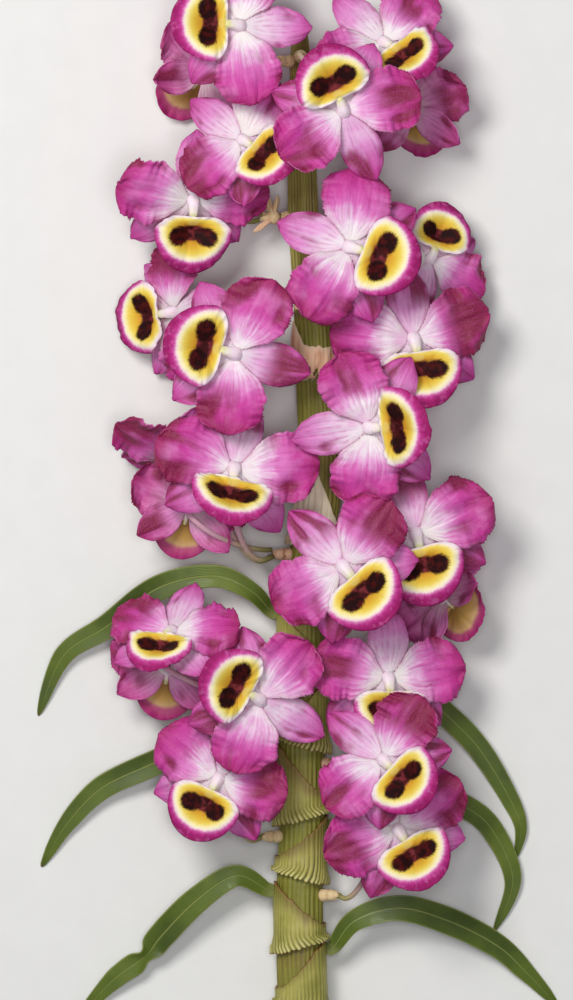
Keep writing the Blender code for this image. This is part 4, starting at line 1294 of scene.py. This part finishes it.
def add_lip(row):
    """One lip, in place of its plain solid."""
    phase = random.Random(f"lip-{row.name}").uniform(0.0, math.tau)
    points, faces, numbers = run_tree(lip_tree, {"Phase": phase})
    matrix = bloom_matrix(row) @ lip_turn(row)
    lip = Piece(f"fine_lip_{row.name}")
    thickness = (0.8 - 0.25 * numbers["eye"] ** 2) * row.size * MM
    faces = [tuple(reversed(face)) for face in faces]
    lip.add_sheet(in_place(points, matrix), faces, numbers, thickness, (0, 1))
    return lip.finish([lip_face, lip_back], "lip_yellow", (f"lip_{row.name}",))


lips = [add_lip(row) for row in BLOOMS]
print("faces in one lip:", len(lips[0].data.polygons))

# %% [markdown]
# ## The cane
# The bare cane shows shallow ribs, a swollen ring at each node and a slightly
# shrivelled skin between them. All of that is a matter of radius, so the cane is one
# round skin whose radius is a sum: station radius, node rings, ribs and wrinkles.

# %% Cane


def ripple(values, seed, low=1.0, high=6.0):
    """A smooth wavering number between about -1 and 1 along values."""
    dice = random.Random(seed)
    total = np.zeros_like(values)
    for _ in range(5):
        total += np.sin(values * dice.uniform(low, high) + dice.uniform(0.0, math.tau))
    return total / 3.0


def round_ripple(turns, seed, orders=(2, 3, 5, 8)):
    """A smooth number between about -1 and 1 that closes on itself round the cane."""
    dice = random.Random(seed)
    return sum(np.sin(order * turns + dice.uniform(0.0, math.tau)) for order in orders) / 2.4


def rib_wave(turns, count, wander, seed, depth_seed):
    """Uneven ribs round the cane, as a number between about -1 and 1."""
    depth = 0.75 + 0.35 * round_ripple(turns, depth_seed)
    return np.cos(turns * count + wander * round_ripple(turns, seed)) * depth


def node_share(along):
    """How close a place along the cane is to a node ring, from 0 to 1."""
    nearest = min(abs(along - node) for node in CANE_NODES)
    return math.exp(-((nearest / 1.5) ** 2))


def turned(piece, base, out, profile, sides, slot, tear=None):
    """Adds a closed skin turned about an axis from (height, radius) pairs, in millimetres."""
    side = out.orthogonal().normalized()
    up = out.cross(side)
    turns = np.arange(sides) * math.tau / sides
    rings, reach = [], []
    for index, (height, radius) in enumerate(profile):
        lift = height if tear is None else height + tear(turns, index)
        ring = np.array(base) + np.outer(lift * np.ones(sides), out)
        rings.append(ring + np.outer(np.cos(turns) * radius, side) + np.outer(np.sin(turns) * radius, up))
        reach.append(np.full(sides, index / (len(profile) - 1)))
    ends = [np.array(base + out * profile[k][0]) for k in (0, -1)]
    points = np.concatenate(rings + [np.array(ends)])
    faces = grid_faces(len(profile), sides, True)
    last = (len(profile) - 1) * sides
    for step in range(sides):
        other = (step + 1) % sides
        faces += [(other, step, last + sides), (last + step, last + other, last + sides + 1)]
    numbers = {"reach": np.concatenate(reach + [np.array([0.0, 1.0])]), "across": np.zeros(len(points))}
    piece.add(placed_all(points), faces, numbers, slot)


def on_cane(along, angle):
    """A point on the cane's skin and the way out from it there."""
    across, height, radius = cane_at(along)
    out = Vector((math.cos(math.radians(angle)), 0.0, math.sin(math.radians(angle))))
    return Vector((across, along, height)) + out * radius, out


def add_scar(piece):
    """The round scars that old flower stalks left on the front of the cane."""
    for along, angle, size in ((81.7, 96.0, 1.0), (84.2, 134.0, 0.85), (-17.5, 60.0, 0.8)):
        base, out = on_cane(along, angle)
        profile = [(-1.0, 2.5), (0.9, 2.4), (1.9, 2.2), (2.25, 1.9), (2.1, 1.5), (1.4, 1.2), (1.1, 0.6)]
        turned(piece, base, out, [(height * size, radius * size) for height, radius in profile], 22, 2)


def add_cane():
    """The cane with its ribs, rings, spurs and scars."""
    sides = 150
    low, high = CANE_STATIONS[0][0], CANE_STATIONS[-1][0]
    turns = np.arange(sides) * math.tau / sides
    places = np.arange(low, high + 0.01, 2.2)
    rings, reach, eye_numbers = [], [], []
    rib = rib_wave(turns, count=27.0, wander=1.3, seed="ribs", depth_seed="rib depth")
    for along in places:
        across, height, radius = cane_at(along)
        covered = along < -15.0
        ring = node_share(along)
        swell = (0.15 if covered else 0.8) * ring
        ribs = 0.20 * rib * (1.0 - ring)
        dent = 0.16 * round_ripple(turns + along * 0.02, "dent") * math.sin(along * 0.11)
        reach_out = radius + swell - 0.18 + ribs + dent
        x = across + reach_out * np.cos(turns)
        z = height + reach_out * np.sin(turns)
        rings.append(np.stack([x, np.full(sides, along), z], axis=1))
        reach.append((along - low) / (high - low))
        eye_numbers.append(ring * (0.35 if covered else 1.0))
    heel, tip = cane_at(low), cane_at(high)
    ends = np.array([[heel[0], low, heel[1]], [tip[0], high + 1.5, tip[1]]])
    points = np.concatenate(rings + [ends])
    faces = grid_faces(len(places), sides, True)
    last = (len(places) - 1) * sides
    faces = [tuple(reversed(face)) for face in faces]
    slots = [0] * len(faces)
    for step in range(sides):
        other = (step + 1) % sides
        faces += [(step, other, len(places) * sides), (last + other, last + step, len(places) * sides + 1)]
        slots += [1, 0]
    numbers = {
        "reach": np.concatenate([np.repeat(reach, sides), [0.0, 1.0]]),
        "side": np.concatenate([np.tile(turns / math.tau, len(places)), [0.0, 0.0]]),
        "eye": np.concatenate([np.repeat(eye_numbers, sides), [0.0, 0.0]]),
        "across": np.concatenate([np.tile(rib, len(places)), [0.0, 0.0]]),
    }
    cane = Piece("fine_cane")
    cane.add(placed_all(points), faces, numbers, slots)
    for name, (along, _, length) in SPURS.items():
        tip, out = spur_tip(name)
        radius = cane_at(along)[2]
        steps = 14
        root = out * (length + radius * 0.4)
        course = [placed(tip - root * (1.0 - step / (steps - 1))) for step in range(steps)]
        tube(cane, course, np.linspace(2.15, 1.3, steps) * MM, 14, 0)
    add_scar(cane)
    return cane.finish([cane_skin, cane_cut, paper_brown], "cane_green_brown", ("cane",))


cane = add_cane()
print("faces in the cane:", len(cane.data.polygons))

# %% [markdown]
# ## Sheaths and leaves
# Each leaf starts as a ribbed tube round the cane, with a flared, slanting foot at its
# node and a slanting upper rim, high on the side where the blade leaves it. The blade is
# a folded strap that arches out and down to the table.

# %% Leaf table
# Name, foot and rim of the sheath along the cane, the side that bears the blade, the
# rim's place on the far side, the blade's midline and its half-width.
LEAVES = [
    ("leaf_left_upper", -81.0, -45.0, 180.0, -66.0, [
        (-10.4, -49.0, 12.1), (-13.2, -48.6, 12.7), (-22.0, -39.5, 17.0), (-38.0, -33.0, 18.0),
        (-62.0, -38.0, 14.0), (-85.0, -55.0, 8.0), (-104.0, -68.0, 4.5), (-115.0, -94.0, 0.52),
    ], 5.6),
    ("leaf_right_upper", -110.0, -76.0, 0.0, -98.0, [
        (11.35, -80.0, 12.1), (14.6, -79.6, 12.7), (28.0, -73.5, 15.5), (47.0, -80.0, 13.5),
        (63.0, -93.5, 9.5), (77.0, -108.0, 6.5), (90.0, -129.0, 3.8), (95.5, -143.0, 2.4),
        (93.0, -157.0, 0.52),
    ], 5.2),
    ("leaf_left_middle", -141.5, -105.5, 180.0, -128.0, [
        (-10.65, -109.5, 12.05), (-13.9, -109.1, 12.7), (-26.0, -103.5, 15.0), (-48.0, -108.0, 13.0),
        (-68.0, -116.0, 9.5), (-88.0, -126.0, 6.0), (-103.0, -142.0, 3.0), (-113.5, -160.0, 0.52),
    ], 5.6),
    ("leaf_right_middle", -167.0, -137.0, 0.0, -154.5, [
        (11.05, -141.0, 12.05), (14.3, -140.6, 12.7), (28.0, -131.5, 15.0), (50.0, -126.5, 13.0),
        (71.0, -133.5, 9.0), (83.5, -144.5, 5.5), (92.0, -166.0, 2.6), (84.0, -188.0, 0.52),
    ], 5.2),
    ("leaf_left_lower", -197.0, -165.5, 180.0, -184.0, [
        (-12.05, -169.6, 12.05), (-15.4, -169.2, 12.7), (-28.8, -163.0, 17.0), (-46.0, -174.0, 15.0),
        (-61.0, -189.5, 10.0), (-68.0, -198.5, 7.0), (-82.0, -209.0, 4.4), (-97.0, -225.0, 0.52),
    ], 6.0),
    ("leaf_right_lower", -224.5, -190.5, 0.0, -212.0, [
        (10.45, -194.6, 12.05), (13.7, -194.2, 12.7), (23.0, -182.5, 17.0), (42.0, -177.0, 18.0),
        (64.0, -183.0, 13.0), (85.0, -194.0, 7.0), (98.0, -206.0, 3.4), (112.0, -221.0, 0.52),
    ], 6.0),
]

# %% Sheath


def sheath_grid(low, high, side, far, lift, inner, flare, ribs, rows, sides, seed, slant=1.4):
    """Points of a sheath's middle surface, from its foot to its slanting rim."""
    turns = np.arange(sides) * math.tau / sides
    near = 0.5 + 0.5 * np.cos(turns - math.radians(side))
    top = far + (high - far) * near ** slant + 0.5 * round_ripple(turns, seed + "rim", (3, 7, 12, 19))
    foot = low + lift * (1.0 - near) + 0.3 * round_ripple(turns, seed + "foot", (4, 9, 15, 22))
    rib = rib_wave(turns, ribs, wander=1.6, seed=seed, depth_seed=seed + "depth")
    hump = round_ripple(turns, seed + "hump", (2, 3, 5))
    lean = 0.26 * (1.0 if math.cos(math.radians(side)) > 0.0 else -1.0)
    points, reach = [], []
    for row in range(rows):
        share = (row / (rows - 1)) ** 1.3
        flared = max(0.0, 1.0 - share / 0.26) if share > 0.12 else 1.0 - share * 0.3
        scallop = 0.45 * rib * max(0.0, 1.0 - share / 0.06)
        round_turns = turns + lean * max(0.0, 1.0 - share / 0.3) ** 1.5
        along = foot + (top - foot) * share - scallop
        ring = np.array([cane_at(value) for value in along])
        wrinkle = 0.14 * hump * math.sin(share * 7.0)
        depth = (0.05 + 0.20 * max(0.0, 1.0 - share * 2.2)) * rib
        reach_out = ring[:, 2] + inner + flare * flared + depth + wrinkle
        level = ring[:, 1] + reach_out * np.sin(round_turns)
        points.append(np.stack([ring[:, 0] + reach_out * np.cos(round_turns), along, level], axis=1))
        reach.append(np.full(sides, share))
    numbers = {
        "reach": np.concatenate(reach),
        "side": np.tile(turns / math.tau, rows),
        "eye": np.full(rows * sides, 0.5 + 0.5 * math.sin(low * 0.7)),
        "across": np.tile(rib, rows),
        "along": np.tile((1.0 - near) ** 2, rows) * np.repeat(np.linspace(0.0, 1.0, rows) ** 6, sides),
    }
    faces = [tuple(reversed(face)) for face in grid_faces(rows, sides, True)]
    return np.concatenate(points), faces, numbers


# %% Blade


def smooth_line(line, steps):
    """A rounded course through the given points."""
    places = [Vector(place) for place in line]
    lengths = [0.0]
    for first, second in zip(places, places[1:]):
        lengths.append(lengths[-1] + (second - first).length)
    course = []
    for step in range(steps):
        target = lengths[-1] * step / (steps - 1)
        index = next(k for k in range(len(places) - 1) if target <= lengths[k + 1] + 1e-9)
        t = (target - lengths[index]) / (lengths[index + 1] - lengths[index])
        a, b, c, d = (places[min(max(index + k, 0), len(places) - 1)] for k in (-1, 0, 1, 2))
        squared = (2 * a - 5 * b + 4 * c - d) * t * t
        cubed = (3 * b - a - 3 * c + d) * t ** 3
        course.append(0.5 * (2 * b + (c - a) * t + squared + cubed))
    return course


def blade_grid(line, half, seed, pinch, rows=110, columns=19):
    """Points of a folded, slightly waved blade along its midline, perhaps pinched at one place."""
    course = smooth_line(line, rows)
    shares = np.linspace(0.0, 1.0, rows)
    closed = 0.5 * np.exp(-(((shares - pinch) / 0.035) ** 2)) if pinch else shares * 0.0
    widths = half * np.interp(shares, [0.0, 0.1, 0.2, 0.35, 0.5, 0.65, 0.8, 0.92, 0.98, 1.0],
                              [0.45, 0.68, 0.85, 0.96, 1.0, 0.92, 0.74, 0.44, 0.2, 0.05])
    widths = widths * (1.0 - closed)
    sway = ripple(shares * 6.0, seed)
    points, reach, side_numbers = [], [], []
    for index, place in enumerate(course):
        before, after = course[max(index - 2, 0)], course[min(index + 2, rows - 1)]
        side = Vector((0.0, 0.0, 1.0)).cross(after - before).normalized()
        for column in range(columns):
            s = 1.0 - 2.0 * column / (columns - 1)
            steep = (0.28 + closed[index] * 1.6) * widths[index]
            fold = steep * (s * s + 0.12) ** 0.5 - steep * 0.12 ** 0.5
            wave = 0.45 * abs(s) ** 2 * sway[index] * (0.6 if s > 0 else -0.6)
            point = place + side * widths[index] * s + Vector((0.0, 0.0, max(fold + wave, 0.0) + 0.05))
            points.append(tuple(point))
            reach.append(shares[index])
            side_numbers.append(s)
    faces = [tuple(reversed(face)) for face in grid_faces(rows, columns)]
    return np.array(points), faces, {"reach": np.array(reach), "side": np.array(side_numbers)}


def off_table(points):
    """Points of the stem in millimetres as metres in Blender, eased up where they near the table."""
    ready = placed_all(points)
    ready[:, 2] = eased(ready[:, 2], 0.45 * MM, -1.0)
    return ready


def add_leaf(row):
    """One leaf, its sheath and its blade, in place of its plain solid."""
    name, low, high, side, far, line, half = row
    leaf = Piece(f"fine_{name}")
    points, faces, numbers = sheath_grid(
        low, high, side, far, lift=7.0, inner=0.95, flare=1.5, ribs=38, rows=26, sides=228, seed=name
    )
    leaf.add_sheet(off_table(points), faces, numbers, 0.7 * MM, (0, 0))
    points, faces, numbers = blade_grid(line, half, name, 0.65 if name == "leaf_left_lower" else 0.0)
    thickness = (0.95 - 0.35 * np.abs(numbers["side"]) ** 2) * MM
    leaf.add_sheet(placed_all(points), faces, numbers, thickness, (1, 1))
    return leaf.finish([sheath_skin, leaf_skin], "leaf_green", (name,))


leaves = [add_leaf(row) for row in LEAVES]
print("faces in one leaf:", len(leaves[0].data.polygons))

# %% [markdown]
# ## Dry sheaths
# Two old sheaths have dried to paper: a cream one above the leaves, and a torn brown
# collar higher up, whose rim rises to a horn on the left. A small torn bract is left at
# the node between them. Paper tears in holes and points, so the collar and the bract
# are sheets from which some oval patches of faces are left out.

# %% Dry sheath


def add_dry_sheath():
    """The cream dried sheath above the leaves."""
    dry = Piece("fine_sheath_dry_middle")
    points, faces, numbers = sheath_grid(
        low=-19.0, high=21.0, side=134.0, far=-14.0, lift=2.0, inner=0.95, flare=1.5,
        ribs=24, rows=30, sides=168, seed="dry", slant=2.4,
    )
    dry.add_sheet(off_table(points), faces, numbers, 0.5 * MM, (0, 0))
    return dry.finish([paper_cream], "dry_cream", ("sheath_dry_middle",))


dry_sheath = add_dry_sheath()
print("faces in the dry sheath:", len(dry_sheath.data.polygons))

# %% Torn collar and bract
TORN_SIDES = 150
TORN_ROWS = 22


def torn_grid(low, high, horn, side, inner, belly, holes, seed):
    """A crumpled band round the cane with torn rims, a horn at one side and holes."""
    sides, rows = TORN_SIDES, TORN_ROWS
    turns = np.arange(sides) * math.tau / sides
    near = 0.5 + 0.5 * np.cos(turns - math.radians(side))
    top = high + horn * near ** 10 + 0.7 * round_ripple(turns, seed + "rim", (4, 7, 13, 21))
    foot = low - 1.0 * near + 1.1 * round_ripple(turns, seed + "foot", (5, 9, 16, 25))
    points, reach = [], []
    for row in range(rows):
        share = row / (rows - 1)
        along = foot + (top - foot) * share
        ring = np.array([cane_at(value) for value in along])
        loose = 0.38 * math.sin(math.pi * (0.15 + 0.75 * share))
        crumple = loose * round_ripple(turns + share * 0.5, seed, (3, 7, 11, 17))
        reach_out = ring[:, 2] + inner + belly * math.sin(math.pi * share ** 0.8) + crumple
        x = ring[:, 0] + reach_out * np.cos(turns)
        z = ring[:, 1] + reach_out * np.sin(turns)
        points.append(np.stack([x, along, z], axis=1))
        reach.append(np.full(sides, share))
    kept = []
    for index, face in enumerate(grid_faces(rows, sides, True)):
        row, column = divmod(index, sides)
        turn = math.degrees((column + 0.5) * math.tau / sides)
        share = (row + 0.5) / (rows - 1)
        if all(((turn - x) / wide) ** 2 + ((share - y) / tall) ** 2 > 1.0 for x, y, wide, tall in holes):
            kept.append(tuple(reversed(face)))
    numbers = {"reach": np.concatenate(reach), "side": np.tile(turns / math.tau, rows)}
    return np.concatenate(points), kept, numbers


def add_torn(name, values, holes):
    """A torn piece still to be finished, and every second point of its foot."""
    piece = Piece(name)
    points, faces, numbers = torn_grid(*values, holes, name)
    piece.add_sheet(placed_all(points), faces, numbers, 0.45 * MM, (0, 0))
    return piece, points[:TORN_SIDES:2]


# Each hole's place round the cane in degrees, its share of the height, and its half-sizes.
COLLAR_HOLES = [
    (64.0, 0.20, 9.0, 0.13), (92.0, 0.13, 6.0, 0.09), (108.0, 0.30, 5.0, 0.07),
    (126.0, 0.16, 7.0, 0.10), (40.0, 0.32, 5.0, 0.10), (150.0, 0.30, 5.0, 0.12),
]
BRACT_HOLES = [(72.0, 0.55, 8.0, 0.22), (128.0, 0.45, 9.0, 0.25)]
collar, collar_foot = add_torn("torn_collar", (53.5, 66.2, 11.0, 166.0, 0.8, 0.7), COLLAR_HOLES)
bract, bract_foot = add_torn("torn_bract", (22.5, 28.4, 2.0, 100.0, 0.9, 0.6), BRACT_HOLES)
print("points on the collar's foot:", len(collar_foot))

# %% [markdown]
# ### Loose fibres
# Torn sheaths end in loose fibres. They repeat along a rim, so a tree places them: it
# turns the rim's points into instances of one thin cone, aims each along the cane with
# a random lean, and varies their size.

# %% Fibre tree
FIBRE_INPUTS = {"Length": 2.6, "Thickness": 0.16, "Lean": 0.7, "Seed": 1.0}
# A quarter of a turn and a whole one, in radians.
QUARTER_TURN = 1.57
WHOLE_TURN = 6.28


def fibre_rule(sketch, given):
    """A thin five-sided cone at each point of the base, aimed and sized at random."""
    rim = sketch.node("GeometryNodeMeshToPoints", None, {0: given["Base"]})
    thick = given["Thickness"]
    cone = sketch.node("GeometryNodeMeshCone", None, {
        "Vertices": 5, "Side Segments": 2, "Radius Top": thick * 0.3, "Radius Bottom": thick,
        "Depth": given["Length"],
    })
    lean = given["Lean"]
    low = sketch.vector(QUARTER_TURN - lean, 0.0 - lean, 0.0)
    high = sketch.vector(lean + QUARTER_TURN, lean, WHOLE_TURN)
    chance = "FunctionNodeRandomValue"
    turn = sketch.node(chance, {"data_type": "FLOAT_VECTOR"}, {0: low, 1: high, 8: given["Seed"]})
    size = sketch.node(chance, {"data_type": "FLOAT"}, {2: 0.35, 3: 1.25, 8: given["Seed"]}, 1)
    strands = sketch.node("GeometryNodeInstanceOnPoints", None, {
        "Points": rim, "Instance": cone, "Rotation": turn, "Scale": size,
    })
    return closing(sketch, strands, paper_cream)


fibre_tree = shape_tree("fibres", FIBRE_INPUTS, fibre_rule, fed=True)


def add_fibres(piece, rim, values, slot):
    """Adds loose fibres at these points (millimetres) to a piece."""
    base = bpy.data.meshes.new("rim")
    base.from_pydata([tuple(point) for point in rim], [], [])
    points, faces, _ = run_tree(fibre_tree, values, base)
    piece.add(placed_all(points), faces, {"reach": np.full(len(points), 0.6)}, slot)


add_fibres(collar, collar_foot, {"Seed": 3.0}, 1)
add_fibres(bract, bract_foot, {"Seed": 5.0, "Length": 1.8}, 1)
collar = collar.finish([paper_brown, paper_cream], "dry_cream")
bract = bract.finish([paper_brown, paper_cream], "dry_cream")
print("faces in the collar and bract:", len(collar.data.polygons), len(bract.data.polygons))

# %% [markdown]
# ## Scales and old stalks
# Every spur is wrapped in two papery scales like small cups. On one spur at the upper
# left last year's stalks have dried, four thin stubs that spread from one knob.

# %% Scales on the spurs


def add_scales():
    """Two scales on each spur, the outer one slimmer, with torn rims."""
    scales = Piece("spur_scales")
    for number, (name, (along, turn, length)) in enumerate(SPURS.items()):
        base, out = on_cane(along, turn)
        cups = ((-0.8, 4.2, 2.7, 0.5), (length * 0.3, length * 0.7 + 0.2, 2.35, 1.0))
        for start, size, wide, taper in cups:

            def tear(turns, index, seed=f"{name}{start}"):
                return (0.8 if index in (4, 5, 6) else 0.0) * round_ripple(turns, seed, (1, 2, 3, 7))

            lip = wide - taper
            profile = [
                (0.3, 1.2), (0.0, wide - 0.3), (size * 0.3, wide + 0.25), (size * 0.7, wide - taper * 0.3),
                (size, lip), (size + 0.1, lip - 0.2), (size - 0.3, lip - 0.3),
                (size * 0.4, wide - 0.6), (0.6, 1.2),
            ]
            turned(scales, base + out * start, out, profile, 26, number % 3 // 2, tear)
    return scales.finish([paper_tan, paper_brown], "dry_cream")


scales = add_scales()
print("faces in the scales:", len(scales.data.polygons))

# %% Old stalks


def three_edged(turns, share):
    """A stub's section, drawn in to three edges that wind a little."""
    return 1.0 + 0.25 * np.cos(3.0 * turns + share * 4.0)


def add_old_stalks():
    """Four dried stubs on one knob of the high left spur."""
    stubs = Piece("old_stalks")
    tip, out = spur_tip("high_left")
    knob = tip - out * 5.5
    profile = [(0.0, 1.5), (0.8, 2.7), (2.2, 3.1), (3.6, 2.6), (4.6, 1.2)]
    turned(stubs, knob - out * 2.4, out, profile, 20, 0)
    ends = [((-16.0, 131.6, 3.0), 0, 1.5), ((-10.4, 132.0, 0.5), 0, 1.0), ((-24.0, 126.4, 1.0), 1, 0.8),
            ((-21.0, 116.1, 4.0), 1, 1.1)]
    for (x, y, lift), slot, size in ends:
        end = Vector((x, y, knob.z + lift))
        course = []
        for share in (step / 9.0 for step in range(10)):
            arch = Vector((0.0, 0.0, 0.9 * math.sin(share * math.pi)))
            course.append(placed(knob.lerp(end, share) + arch))
        radii = np.array([1.3, 1.15, 1.0, 0.9, 0.95, 1.05, 1.1, 1.0, 0.8, 0.4]) * size
        tube(stubs, course, radii * MM, 14, slot, three_edged)
    return stubs.finish([paper_tan, paper_brown], "dry_cream")


old_stalks = add_old_stalks()
print("faces in the old stalks:", len(old_stalks.data.polygons))

# %% [markdown]
# ## The table
# A plain pale sheet under the stem, which isn't part of it.

# %% Table


def add_table():
    """A plain square under the stem."""
    half = 3.0
    mesh = bpy.data.meshes.new("table")
    corners = [(-half, -half, 0.0), (half, -half, 0.0), (half, half, 0.0), (-half, half, 0.0)]
    mesh.from_pydata(corners, [], [(0, 1, 2, 3)])
    material, sketch, shader = new_finish("table_paint", {})
    speck = sketch.noise(sketch.place(), 60.0, 4.0)
    colour = sketch.mix(speck, paint(226, 226, 224), paint(234, 234, 232))
    finish_with(sketch, shader, colour, 0.8 + speck * 0.1, speck, 0.0002)
    mesh.materials.append(material)
    item = bpy.data.objects.new("table", mesh)
    bpy.context.scene.collection.objects.link(item)
    return item


table = add_table()
print("table:", table.name)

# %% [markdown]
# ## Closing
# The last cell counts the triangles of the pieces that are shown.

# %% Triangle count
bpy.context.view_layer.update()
shown = [item for item in bpy.data.objects if item.type == "MESH" and not item.hide_render]
total = sum(len(polygon.vertices) - 2 for item in shown for polygon in item.data.polygons)
print("triangles shown:", total)
